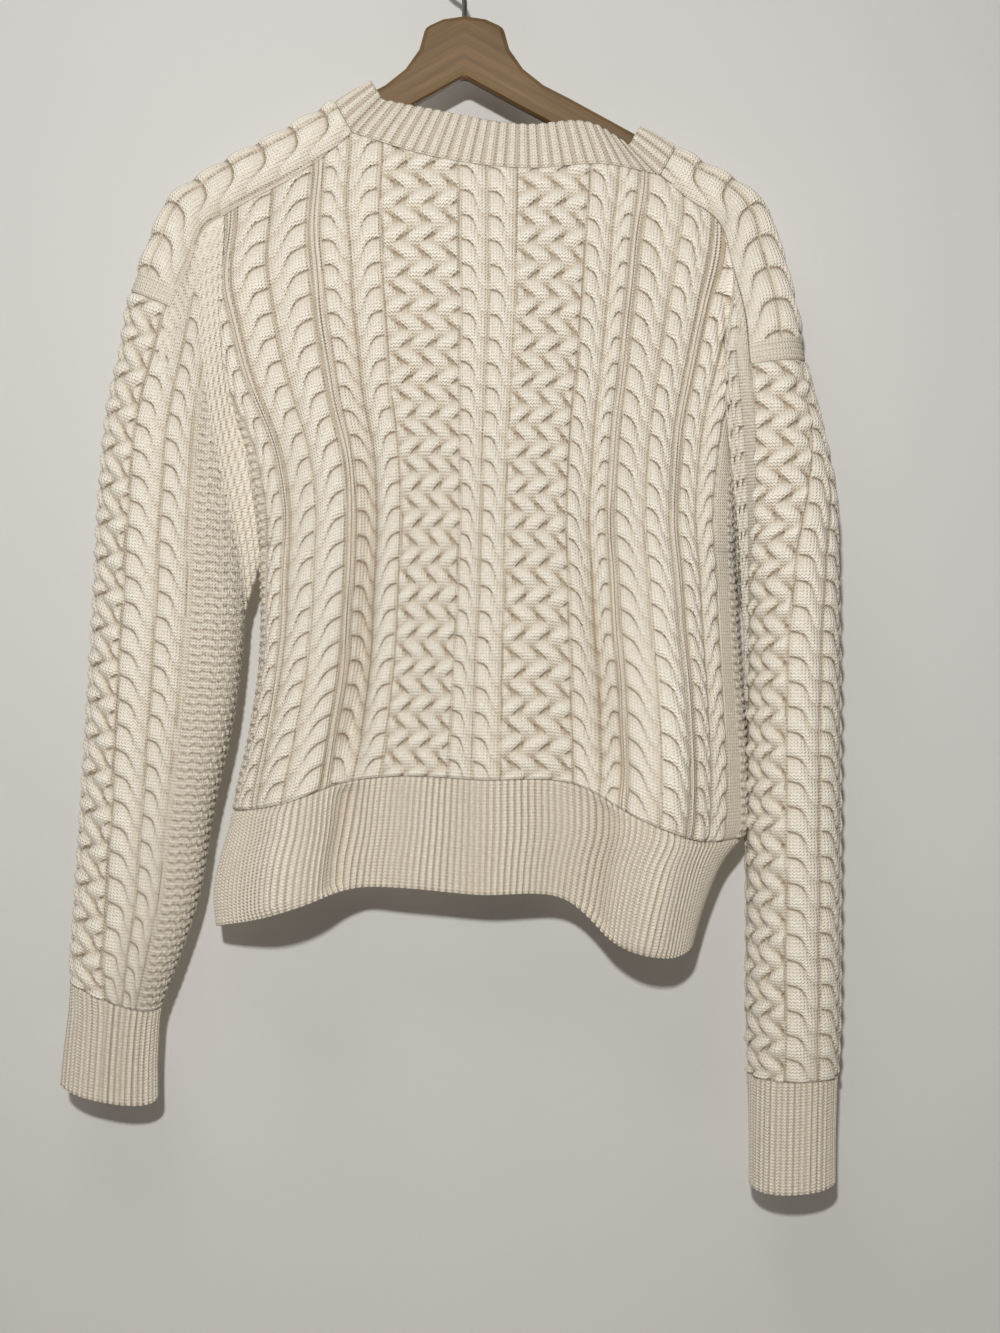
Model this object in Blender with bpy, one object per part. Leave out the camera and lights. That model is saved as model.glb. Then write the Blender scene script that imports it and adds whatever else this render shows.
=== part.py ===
"""Cable knit sweater on a wooden hanger, seen from its back along +Y.

The origin is the inner top of the hanger's hook, +Z is up and the garment's back faces -Y. Each cloth
piece is a wall between an outer grid of points and the same grid moved in along its normals. Tables give
the forms; their "drop" is the distance down from the origin, and all sizes are in metres.
"""

import math

import bmesh
import bpy
import numpy as np

CLOTH = 0.0035  # thickness of the knitted wall
SEAM = 0.0004  # gap between two pieces at a seam

# Hanger and hook
HANGER_HALF = 0.1980
HANGER_DEPTH = 0.013
ARM_DROP, ARM_SLOPE = 0.0842, 0.56  # the arms' top edge: drop = ARM_DROP + ARM_SLOPE * x
ARM_HEIGHT = 0.0245  # measured vertically
HEAD = [(0.0, 0.068), (0.016, 0.0703), (0.0295, 0.0765), (0.034, 0.093), (0.0445, 0.108), (0.060, 0.1203)]
ARM_START = (0.079, 0.1300)  # where the arm's top edge runs straight
CROTCH = [(0.0422, 0.1370), (0.0, 0.1140)]  # the lower edge's last points, up to the middle
WIRE = 0.004
HOOK_RADIUS = 0.021
HOOK_GAP = 0.0004

# Cloth widths as cut
CUT_HALF = 0.245  # half the width of the back, and of the front, under the arms
CUT_FIXED = 0.15  # the part of it that the armholes don't narrow
SLEEVE_HALF = 0.150  # half the sleeve's width at its head
SLEEVE_FIXED = 0.085
STRAP_CORNER = 0.118  # along a strap from the neck to where front, back and sleeve meet

# Grid steps of the faceted cloth
ARMHOLE_ROWS, BODY_ROWS, HEM_ROWS = 7, 7, 3
STRAP_ACROSS = (-1, -0.62, -0.3, -0.14, 0, 0.14, 0.3, 0.62, 1)  # from a strap's back edge to its front
STRAP_COLUMNS, SHOULDER_ROWS, CAP_ROWS = len(STRAP_ACROSS) - 1, 6, 5
NECK_COLUMNS, BAND_ROWS = 14, 2
SLEEVE_ROWS, CUFF_ROWS = 12, 3
ROW_GROWTH = 1.35  # a sleeve's rows lie closer together at its head
SHOULDER_FADE, SLEEVE_FADE = 0.07, 0.06

BODY_COLUMNS = "drop left right centre back front power seam_left seam_right"
BODY = [
    (0.150, -0.184, 0.190, 0.0232, -0.0150, 0.0150, 2.5, 0.000, 0.002),
    (0.220, -0.184, 0.190, 0.0232, -0.0200, 0.0190, 2.5, 0.000, 0.003),
    (0.260, -0.183, 0.192, 0.0232, -0.0225, 0.0210, 2.5, 0.000, 0.004),
    (0.300, -0.181, 0.195, 0.0225, -0.0250, 0.0230, 2.5, 0.000, 0.005),
    (0.360, -0.174, 0.198, 0.0205, -0.0280, 0.0260, 2.5, 0.000, 0.006),
    (0.400, -0.162, 0.200, 0.0190, -0.0310, 0.0280, 2.5, 0.000, 0.006),
    (0.440, -0.156, 0.202, 0.0174, -0.0330, 0.0300, 2.5, 0.000, 0.006),
    (0.480, -0.154, 0.2045, 0.0160, -0.0350, 0.0310, 2.5, 0.000, 0.006),
    (0.560, -0.154, 0.2090, 0.0135, -0.0380, 0.0330, 2.5, 0.000, 0.004),
    (0.615, -0.162, 0.2125, 0.0120, -0.0400, 0.0350, 2.6, 0.000, 0.002),
    (0.655, -0.171, 0.2135, 0.0110, -0.0410, 0.0360, 2.7, 0.000, 0.000),
    (0.685, -0.177, 0.2120, 0.0105, -0.0415, 0.0360, 2.7, 0.000, 0.000),
    (0.705, -0.183, 0.1960, 0.0100, -0.0415, 0.0360, 2.8, 0.000, 0.000),
    (0.730, -0.188, 0.1840, 0.0095, -0.0420, 0.0360, 2.8, 0.000, 0.000),
    (0.760, -0.186, 0.1740, 0.0092, -0.0420, 0.0360, 2.8, 0.000, 0.000),
    (0.790, -0.184, 0.1660, 0.0090, -0.0420, 0.0360, 2.8, 0.000, 0.000),
]
# Folds hang down the cloth: where they start, their place there and at the hem, width and depth (out is -)
# columns: side start top_x hem_x width depth
FOLDS = [
    ("back", 0.40, -0.145, -0.128, 0.040, -0.032),
    ("back", 0.50, -0.090, -0.072, 0.020, 0.021),
    ("back", 0.52, 0.070, 0.083, 0.024, 0.014),
    ("back", 0.38, 0.165, 0.146, 0.040, -0.040),
    ("front", 0.42, -0.110, -0.100, 0.036, 0.012),
    ("front", 0.52, -0.030, -0.045, 0.024, -0.020),
    ("front", 0.45, 0.050, 0.030, 0.034, 0.010),
    ("front", 0.50, 0.110, 0.105, 0.026, -0.022),
    ("front", 0.44, 0.160, 0.155, 0.030, 0.010),
]
FOLD_LENGTH = 0.36  # from a fold's start to its full depth
ARMHOLE = {"left": (0.470, 0.0150), "right": (0.475, 0.0120)}  # underarm drop, half the gap
GAP_REACH = 0.3  # how far in from an armhole its gap shapes the panel, as a share of half the panel

# Rib seam and lower edge of the body, by place across the cloth as cut
RIB_COLUMNS = "place back_rib back_edge front_rib front_edge"
RIB = [
    (-0.245, 0.671, 0.758, 0.671, 0.758),
    (-0.171, 0.662, 0.7435, 0.659, 0.743),
    (-0.122, 0.648, 0.729, 0.651, 0.7345),
    (-0.073, 0.642, 0.7235, 0.649, 0.7325),
    (0.000, 0.6445, 0.7285, 0.650, 0.7335),
    (0.073, 0.648, 0.733, 0.653, 0.737),
    (0.122, 0.670, 0.761, 0.664, 0.748),
    (0.171, 0.687, 0.7725, 0.678, 0.762),
    (0.245, 0.690, 0.768, 0.690, 0.768),
]

# Straps lie over the hanger's arms. Their form is a row of superellipses: the outer line's x and drop, the
# lean of its normal in degrees, half height, half depth, power, half width of the strap, and how far the
# strap's middle is turned to the back.
# columns: x drop lean high deep power half turn
STRAP = {
    "left": [
        (-0.0705, 0.1187, 29, 0.030, 0.0126, 3.5, 0.026, 0.000),
        (-0.0980, 0.1345, 29, 0.030, 0.0126, 3.5, 0.036, 0.000),
        (-0.1350, 0.1552, 29, 0.030, 0.0126, 3.5, 0.043, 0.000),
        (-0.1960, 0.1884, 33, 0.0305, 0.0131, 3.2, 0.044, 0.000),
        (-0.2215, 0.2068, 50, 0.033, 0.0155, 2.8, 0.044, 0.001),
        (-0.2380, 0.2420, 61, 0.037, 0.0190, 2.5, 0.044, 0.003),
        (-0.2520, 0.2780, 66, 0.041, 0.0230, 2.4, 0.044, 0.004),
    ],
    "right": [
        (0.1330, 0.1530, 29, 0.030, 0.0126, 3.5, 0.026, 0.000),
        (0.1600, 0.1688, 29, 0.030, 0.0126, 3.5, 0.033, 0.000),
        (0.1860, 0.1833, 29, 0.030, 0.0126, 3.5, 0.039, 0.000),
        (0.2050, 0.1936, 34, 0.0305, 0.0131, 3.2, 0.040, 0.001),
        (0.2240, 0.2098, 53, 0.034, 0.0155, 2.8, 0.040, 0.006),
        (0.2390, 0.2450, 68, 0.036, 0.0200, 2.5, 0.040, 0.012),
        (0.2500, 0.2880, 76, 0.035, 0.0320, 2.3, 0.040, 0.022),
        (0.2565, 0.3320, 82, 0.034, 0.0410, 2.2, 0.040, 0.032),
    ],
}
# The neckline between the straps: seam and band edge, outer side
# columns: x y drop
NECK_SEAM = {
    "back": [(-0.030, -0.0150, 0.1765), (0.045, -0.0160, 0.1870), (0.108, -0.0150, 0.1840)],
    "front": [(-0.045, 0.0160, 0.2130), (0.035, 0.0190, 0.2560), (0.118, 0.0160, 0.2200)],
}
NECK_EDGE = {
    "back": [(-0.018, -0.0125, 0.1432), (0.045, -0.0130, 0.1535), (0.096, -0.0125, 0.1525)],
    "front": [(-0.032, 0.0150, 0.1860), (0.035, 0.0180, 0.2230), (0.103, 0.0150, 0.1930)],
}
BAND_CROWN = 0.0008  # how far the neckband's middle stands out

SLEEVE_COLUMNS = "drop x y wide deep power turn under"
SLEEVE = {
    "left": [
        (0.220, -0.195, 0.000, 0.030, 0.016, 2.5, 0.002, 0.50),
        (0.260, -0.206, 0.000, 0.038, 0.020, 2.5, 0.003, 0.50),
        (0.320, -0.213, -0.001, 0.045, 0.026, 2.4, 0.004, 0.50),
        (0.360, -0.217, -0.002, 0.050, 0.030, 2.3, 0.004, 0.50),
        (0.435, -0.221, -0.003, 0.053, 0.033, 2.3, 0.004, 0.50),
        (0.526, -0.2235, -0.004, 0.055, 0.034, 2.3, 0.004, 0.50),
        (0.593, -0.2290, -0.004, 0.0535, 0.034, 2.3, 0.005, 0.50),
        (0.678, -0.2405, -0.004, 0.0472, 0.034, 2.3, 0.006, 0.50),
        (0.736, -0.2475, -0.004, 0.0442, 0.032, 2.3, 0.006, 0.50),
        (0.789, -0.2580, -0.004, 0.0372, 0.029, 2.3, 0.006, 0.50),
        (0.815, -0.2635, -0.004, 0.0330, 0.025, 2.3, 0.006, 0.50),
        (0.850, -0.2675, -0.004, 0.0335, 0.022, 2.3, 0.006, 0.50),
        (0.900, -0.2700, -0.004, 0.0360, 0.021, 2.3, 0.006, 0.50),
    ],
    "right": [
        (0.220, 0.195, 0.000, 0.028, 0.016, 2.5, 0.006, 0.50),
        (0.260, 0.208, 0.000, 0.034, 0.022, 2.5, 0.014, 0.50),
        (0.300, 0.2170, -0.002, 0.035, 0.032, 2.4, 0.024, 0.50),
        (0.332, 0.2215, -0.004, 0.035, 0.040, 2.3, 0.032, 0.50),
        (0.390, 0.2335, -0.005, 0.0365, 0.044, 2.3, 0.047, 0.50),
        (0.437, 0.2410, -0.005, 0.0370, 0.046, 2.2, 0.062, 0.50),
        (0.480, 0.2450, -0.005, 0.0350, 0.047, 2.2, 0.074, 0.52),
        (0.526, 0.2475, -0.005, 0.0330, 0.047, 2.2, 0.080, 0.58),
        (0.640, 0.2483, -0.005, 0.0328, 0.046, 2.2, 0.082, 0.74),
        (0.740, 0.2483, -0.005, 0.0328, 0.043, 2.2, 0.080, 0.80),
        (0.840, 0.2480, -0.005, 0.0328, 0.038, 2.2, 0.074, 0.80),
        (0.870, 0.2480, -0.005, 0.0320, 0.032, 2.2, 0.068, 0.80),
        (0.910, 0.2480, -0.005, 0.0308, 0.029, 2.2, 0.065, 0.80),
        (0.965, 0.2480, -0.005, 0.0305, 0.028, 2.2, 0.065, 0.80),
    ],
}
# Cuff seam and cuff edge: the drop at a place x, and how much it grows with x and towards -y
# columns: x drop by_x by_y
CUFF = {
    "left": [(-0.2635, 0.804, 0.35, 0.20), (-0.2700, 0.880, 0.20, 0.20)],
    "right": [(0.2480, 0.868, 0.00, 0.00), (0.2480, 0.950, -0.08, 0.05)],
}
OUTWARD_X = {"left": -1.0, "right": 1.0}

SECTION_POINTS = 241
FORM_ROWS, FORM_PLACES = 121, 81
SHARE_STEP, DROP_STEP = 0.02, 0.004


def remove_everything():
    for thing in list(bpy.data.objects):
        bpy.data.objects.remove(thing, do_unlink=True)


# ---- curves and tables


def smooth(at, knots, values):
    """A cubic through the values, whose slopes come from their neighbours, held level past the ends."""
    knots, values = np.asarray(knots, float), np.asarray(values, float)
    slopes = np.gradient(values, knots, axis=0)
    at = np.asarray(at, float)
    i = np.clip(np.searchsorted(knots, at, side="right") - 1, 0, len(knots) - 2)
    span = knots[i + 1] - knots[i]
    t = np.clip((at - knots[i]) / span, 0, 1)
    if values.ndim > 1:
        span, t = span[..., None], t[..., None]
    start = (1 + 2 * t) * (1 - t) ** 2 * values[i] + t * (1 - t) ** 2 * span * slopes[i]
    end = t * t * (3 - 2 * t) * values[i + 1] + t * t * (t - 1) * span * slopes[i + 1]
    return start + end


def columns_at(names, table, at):
    """The table's columns by name, at a value of its first column."""
    rows = np.array(table)
    return dict(zip(names.split()[1:], smooth(at, rows[:, 0], rows[:, 1:]).T))


def lengths(points):
    """How far along the line each point lies."""
    steps = np.linalg.norm(np.diff(points, axis=0), axis=1)
    return np.concatenate([[0.0], np.cumsum(steps)])


def along(points, at):
    """Points of a line at given lengths."""
    line = lengths(points)
    return np.stack([np.interp(at, line, c) for c in np.asarray(points).T], axis=-1)


def smooth_line(points, count):
    """A smooth line through the points, as evenly spaced points."""
    points = np.array(points)
    knots = lengths(points)
    fine = smooth(np.linspace(0, knots[-1], 40 * len(points)), knots, points)
    return along(fine, np.linspace(0, lengths(fine)[-1], count))


def fade(t):
    """1 at 0, falling smoothly to 0 at 1 and staying there."""
    t = np.clip(t, 0, 1)
    return (1 - t) ** 2 * (1 + 2 * t)


def weights(t):
    """Catmull-Rom weights of the four neighbours of a place t between the middle two."""
    return (
        -0.5 * t**3 + t**2 - 0.5 * t,
        1.5 * t**3 - 2.5 * t**2 + 1,
        -1.5 * t**3 + 2 * t**2 + 0.5 * t,
        0.5 * t**3 - 0.5 * t**2,
    )


class Form:
    """A surface kept as sections: x and y for even steps of drop and of share, from -1 to 1 across it."""

    def __init__(self, section, top, bottom):
        self.top, self.bottom = top, bottom
        shares = np.linspace(-1, 1, FORM_PLACES)
        self.table = np.array([section(d, shares) for d in np.linspace(top, bottom, FORM_ROWS)])

    def at(self, share, drop):
        row = (np.clip(drop, self.top, self.bottom) - self.top) / (self.bottom - self.top)
        row = row * (FORM_ROWS - 1)
        place = (np.clip(share, -1, 1) + 1) / 2 * (FORM_PLACES - 1)
        r, p = np.floor(row).astype(int), np.floor(place).astype(int)
        total = 0
        for i, a in zip(range(-1, 3), weights(row - r)):
            for j, b in zip(range(-1, 3), weights(place - p)):
                near = self.table[np.clip(r + i, 0, FORM_ROWS - 1), np.clip(p + j, 0, FORM_PLACES - 1)]
                total = total + (a * b)[..., None] * near
        return total


# ---- the body


def armhole_gap(side, drop):
    """Half the distance between the front and back edges of an armhole, and 0 below it."""
    underarm, half = ARMHOLE[side]
    t = np.clip((drop - 0.15) / (underarm - 0.15), 0, 1)
    return half * (1 - t**6) ** 0.5


def body_section(side, drop, shares):
    """x and y across the back or the front at one drop; -1 and 1 are its edges and 0 its middle line."""
    row = columns_at(BODY_COLUMNS, BODY, drop)
    t = np.sin(np.linspace(-math.pi / 2, math.pi / 2, SECTION_POINTS))
    x = row["left"] + (row["right"] - row["left"]) * (t + 1) / 2
    edge = row["seam_left"] + (row["seam_right"] - row["seam_left"]) * (t + 1) / 2
    hump = np.maximum(1 - abs(t) ** row["power"], 0) ** (1 / row["power"])
    y = edge + (row[side] - edge) * hump
    for which, start, top_x, hem_x, width, depth in FOLDS:
        if which == side:
            grown = np.clip((drop - start) / FOLD_LENGTH, 0, 1)
            crest = top_x + (hem_x - top_x) * grown
            y = y + depth * (1 - fade(grown)) ** 0.8 * np.exp(-(((x - crest) / width) ** 2)) * hump
    points = np.stack([x, y], axis=1)
    line = lengths(points)
    middle = np.interp(row["centre"], x, line)
    wanted = np.where(shares < 0, middle * (1 + shares), middle + shares * (line[-1] - middle))
    return along(points, wanted)


def narrowed(place, edge):
    """Where a place across the full cut lies when the armhole has narrowed the cloth to edge."""
    size = abs(place)
    outer = CUT_FIXED + (size - CUT_FIXED) * (edge - CUT_FIXED) / (CUT_HALF - CUT_FIXED)
    return np.sign(place) * np.where(size < CUT_FIXED, size, outer)


def body_grid(form, top, side):
    """Rows of points of a panel with its hem below it, hung from the points of its top edge."""
    centre = BODY[0][3]
    across = top[:, 0] - centre
    corner = np.where(across < 0, abs(across[0]), abs(across[-1]))
    size = abs(across)
    outer = CUT_FIXED + (size - CUT_FIXED) * (CUT_HALF - CUT_FIXED) / (corner - CUT_FIXED)
    place = np.sign(across) * np.where(size < CUT_FIXED, size, outer)
    rib = columns_at(RIB_COLUMNS, RIB, place)
    lean = (place / CUT_HALF + 1) / 2
    armpit = ARMHOLE["left"][0] + (ARMHOLE["right"][0] - ARMHOLE["left"][0]) * lean
    start = -top[:, 2]
    drops = [start + (armpit - start) * j / ARMHOLE_ROWS for j in range(ARMHOLE_ROWS)]
    seam = rib[side + "_rib"]
    drops += [armpit + (seam - armpit) * j / BODY_ROWS for j in range(BODY_ROWS + 1)]
    drops += [seam + (rib[side + "_edge"] - seam) * j / HEM_ROWS for j in range(1, HEM_ROWS + 1)]
    drops = np.array(drops)
    width = corner + (CUT_HALF - corner) * (1 - fade((drops - start) / (armpit - start)))
    share = narrowed(place, width) / width
    flat = form.at(share, drops)
    out = -1 if side == "back" else 1
    for edge, sign in (("left", 1), ("right", -1)):
        flat[..., 1] += out * armhole_gap(edge, drops) * fade((1 + sign * share) / GAP_REACH)
    move = top[:, :2] - flat[0]
    flat = flat + move * fade((drops - start) / SHOULDER_FADE)[..., None]
    return np.concatenate([flat, -drops[..., None]], axis=2)


# ---- straps, neckline and sleeves


def superellipse(wide, deep, power, points=SECTION_POINTS):
    """Outward and backward reach round a tube, from its far front round its outer side to its far back."""
    angle = np.linspace(-math.pi, math.pi, points)
    c, s = np.cos(angle), np.sin(angle)
    out = wide * np.sign(c) * abs(c) ** (2 / power)
    back = deep * np.sign(s) * abs(s) ** (2 / power)
    return np.stack([out, back], axis=1)


def strap_line(side):
    """Length along the strap's outer line from the neck seam, for each row of its table."""
    rows = np.array(STRAP[side])
    line = lengths(rows[:, :2])
    return line - line[1], rows


def strap_points(side, at, across):
    """Outer points of a strap at a length from its neck seam; across is -1 at its back edge, 1 in front."""
    line, rows = strap_line(side)
    x, drop, lean, high, deep, power, half, turn = smooth(at, line, rows)
    ring = superellipse(high, deep, power)
    from_outer = lengths(ring) - lengths(ring)[SECTION_POINTS // 2]
    wanted = turn - np.asarray(across) * half
    out, back = (np.interp(wanted, from_outer, c) for c in ring.T)
    lean = math.radians(lean)
    reach = out - high
    px = x + OUTWARD_X[side] * math.sin(lean) * reach
    pz = -drop + math.cos(lean) * reach
    return np.stack([px, -back, pz], axis=1)


def strap_grid(side):
    """Rows of points from the neck seam to the strap's end."""
    end = strap_line(side)[0][-1]
    stations = list(np.linspace(0, STRAP_CORNER, SHOULDER_ROWS + 1))
    stations += list(np.linspace(STRAP_CORNER, end, CAP_ROWS + 1))[1:]
    return np.array([strap_points(side, at, STRAP_ACROSS) for at in stations])


def neck_ring(places, at):
    """The closed neckline: back from left to right, over the right arm, front back again, over the left."""
    left = strap_points("left", at, STRAP_ACROSS)
    right = strap_points("right", at, STRAP_ACROSS)

    def between(start, side, end):
        middle = [(x, y, -drop) for x, y, drop in places[side]]
        return smooth_line([start, *middle, end], NECK_COLUMNS + 1)

    back = between(left[0], "back", right[0])
    front = between(left[-1], "front", right[-1])
    return np.concatenate([back[:-1], right[:-1], front[::-1][:-1], left[::-1][:-1]])


def neckband_grid():
    """Rows from the band's edge down to its seam."""
    edge = neck_ring(NECK_EDGE, strap_line("left")[0][0])
    seam = neck_ring(NECK_SEAM, 0.0)
    ring_out = np.cross(np.roll(seam, -1, axis=0) - np.roll(seam, 1, axis=0), edge - seam)
    ring_out /= np.linalg.norm(ring_out, axis=1)[:, None]
    rows = []
    for j in range(BAND_ROWS + 1):
        t = j / BAND_ROWS
        rows.append(edge + (seam - edge) * t + ring_out * BAND_CROWN * 4 * t * (1 - t))
    return np.array(rows)


def squeezed(size, fixed, room, cut):
    """A place on the cut cloth, where the part past the fixed width gives way to fill the room."""
    fixed = min(fixed, 0.45 * room)
    return np.where(size < fixed, size, fixed + (size - fixed) * (room - fixed) / (cut - fixed))


def sleeve_section(side, drop, shares):
    """x and y round a sleeve at one drop: 0 is its middle line, 1 and -1 its seam by the back and front."""
    row = columns_at(SLEEVE_COLUMNS, SLEEVE[side], drop)
    ring = superellipse(row["wide"], row["deep"], row["power"])
    ring = np.concatenate([ring[:-1], ring])
    line = lengths(ring)
    girth = line[-1] / 2
    back = row["under"] * girth - row["turn"]
    size = abs(shares) * SLEEVE_HALF
    by_back = row["turn"] + squeezed(size, SLEEVE_FIXED, back, SLEEVE_HALF)
    by_front = row["turn"] - squeezed(size, SLEEVE_FIXED, girth - back, SLEEVE_HALF)
    wanted = np.where(shares > 0, by_back, by_front)
    at = along(ring, (wanted + girth / 2) % girth)
    return np.stack([row["x"] + OUTWARD_X[side] * at[:, 0], row["y"] - at[:, 1]], axis=1)


def sleeve_loop(body, strap, side):
    """The sleeve's upper edge: up the back of the armhole, round the strap's end and down the front."""
    column = 0 if side == "left" else -1
    back = body["back"][: ARMHOLE_ROWS + 1, column][::-1]
    front = body["front"][: ARMHOLE_ROWS + 1, column]
    cap = strap[SHOULDER_ROWS:]
    return np.concatenate([back, cap[1:, 0], cap[-1, 1:], cap[:-1, -1][::-1], front[1:]])


def slanted(plane, points):
    """The drops of a cuff's seam or edge at points round the sleeve."""
    x, drop, by_x, by_y = plane
    return drop + by_x * (points[:, 0] - x) - by_y * points[:, 1]


def sleeve_normals(form, share, drops, side):
    """Outward normals of a sleeve's form, which stay true where columns run close along a seam."""
    around = form.at(share + SHARE_STEP, drops) - form.at(share - SHARE_STEP, drops)
    down = form.at(share, drops + DROP_STEP) - form.at(share, drops - DROP_STEP)
    level, fall = np.zeros_like(drops), np.full_like(drops, -2 * DROP_STEP)
    out = np.cross(np.dstack([around, level]), np.dstack([down, fall])) * OUTWARD_X[side]
    return out / np.linalg.norm(out, axis=2)[..., None]


def sleeve_grid(form, loop, side):
    """Rows of points of a sleeve with its cuff below it, hung from its head's points, and their normals."""
    cap_columns = ARMHOLE_ROWS + CAP_ROWS
    line = lengths(np.concatenate([loop, loop[:1]]))
    share = np.zeros(len(loop))
    half_strap = STRAP[side][-1][6] / SLEEVE_HALF
    last = cap_columns + STRAP_COLUMNS
    share[: cap_columns + 1] = np.interp(line[: cap_columns + 1], [0, line[cap_columns]], [1, half_strap])
    share[cap_columns : last + 1] = -half_strap * np.array(STRAP_ACROSS)
    share[last:] = np.interp(line[last:-1], [line[last], line[-1]], [-half_strap, -1])
    start = -loop[:, 2]
    seam_plane, edge_plane = CUFF[side]
    seam = slanted(seam_plane, form.at(share, np.full(len(share), seam_plane[1])))
    edge = slanted(edge_plane, form.at(share, np.full(len(share), edge_plane[1])))
    drops = [start + (seam - start) * (j / SLEEVE_ROWS) ** ROW_GROWTH for j in range(SLEEVE_ROWS + 1)]
    drops += [seam + (edge - seam) * j / CUFF_ROWS for j in range(1, CUFF_ROWS + 1)]
    drops = np.array(drops)
    share = np.broadcast_to(share, drops.shape)
    flat = form.at(share, drops)
    move = loop[:, :2] - flat[0]
    flat = flat + move * fade((drops - start) / SLEEVE_FADE)[..., None]
    return np.concatenate([flat, -drops[..., None]], axis=2), sleeve_normals(form, share, drops, side)


# ---- cloth walls


class Cloth:
    """A piece of cloth: its outer grid, whether its columns close to a ring, and which way it faces."""

    def __init__(self, name, outer, ring=False, flip=False, out=None):
        self.name, self.outer, self.ring, self.flip = name, np.array(outer), ring, flip
        self.out = self.normals() if out is None else np.array(out)

    def normals(self):
        down = np.gradient(self.outer, axis=0)
        if self.ring:
            across = np.roll(self.outer, -1, axis=1) - np.roll(self.outer, 1, axis=1)
        else:
            across = np.gradient(self.outer, axis=1)
        found = np.cross(down, across)
        found /= np.linalg.norm(found, axis=2)[..., None]
        return -found if self.flip else found

    def edges(self):
        """Each border's place in the grid, and 1 or -1 for which way its line runs round the piece."""
        every = slice(None)
        yield (0, every), 1
        yield (-1, every), -1
        if not self.ring:
            yield (every, 0), -1
            yield (every, -1), 1


def place_key(point):
    return tuple(np.round(point, 5))


def give_walls(pieces):
    """Moves each grid in by the cloth's thickness, along normals that pieces share where they meet."""
    shared = {}
    for piece in pieces:
        for edge, _ in piece.edges():
            for point, normal in zip(piece.outer[edge], piece.out[edge]):
                key = place_key(point)
                shared[key] = shared.get(key, 0) + normal
    for piece in pieces:
        for edge, _ in piece.edges():
            for k, point in enumerate(piece.outer[edge]):
                normal = shared[place_key(point)]
                piece.out[edge][k] = normal / np.linalg.norm(normal)
        piece.inner = piece.outer - CLOTH * piece.out


def open_seams(piece):
    """Draws every border back by half the seam's gap, square to the border and along the cloth."""
    moves = []
    for edge, sign in piece.edges():
        line = piece.outer[edge]
        if piece.ring:
            along_it = np.roll(line, -1, axis=0) - np.roll(line, 1, axis=0)
        else:
            along_it = np.gradient(line, axis=0)
        step = np.cross(along_it, piece.out[edge]) * sign * (-1 if piece.flip else 1)
        moves.append((edge, step / np.linalg.norm(step, axis=1)[:, None] * SEAM / 2))
    for edge, step in moves:
        piece.outer[edge] += step
        piece.inner[edge] += step


SPLIT = np.array([0.31, 0.17, 1.0])  # no seam runs square to this, so it orders the points along any seam


def wall_mesh(piece):
    """Outer side, inner side and rims of a piece, as triangles."""
    rows, columns = piece.outer.shape[:2]
    count = rows * columns
    points = np.concatenate([piece.outer.reshape(-1, 3), piece.inner.reshape(-1, 3)])
    triangles = []

    def face(a, b, c, d, first):
        """Two triangles that share the diagonal from a to c, or else from b to d."""
        split = [(a, b, c), (a, c, d)] if first else [(a, b, d), (b, c, d)]
        triangles.extend(t[::-1] if piece.flip else t for t in split)

    def rim(a, b):
        """A strip from outer points a and b to their inner points, split alike on both sides of a seam."""
        face(a, b, b + count, a + count, points[a] @ SPLIT > points[b] @ SPLIT)

    def at(row, column):
        return row * columns + column % columns

    spans = columns if piece.ring else columns - 1
    for r in range(rows - 1):
        for c in range(spans):
            a, b, d, e = at(r, c), at(r, c + 1), at(r + 1, c), at(r + 1, c + 1)
            face(a, d, e, b, True)
            face(a + count, b + count, e + count, d + count, True)
        if not piece.ring:
            rim(at(r + 1, 0), at(r, 0))
            rim(at(r, columns - 1), at(r + 1, columns - 1))
    for c in range(spans):
        rim(at(0, c), at(0, c + 1))
        rim(at(rows - 1, c + 1), at(rows - 1, c))
    mesh = bpy.data.meshes.new(piece.name)
    mesh.from_pydata([tuple(p) for p in points], [], triangles)
    mesh.validate()
    return mesh


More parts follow.
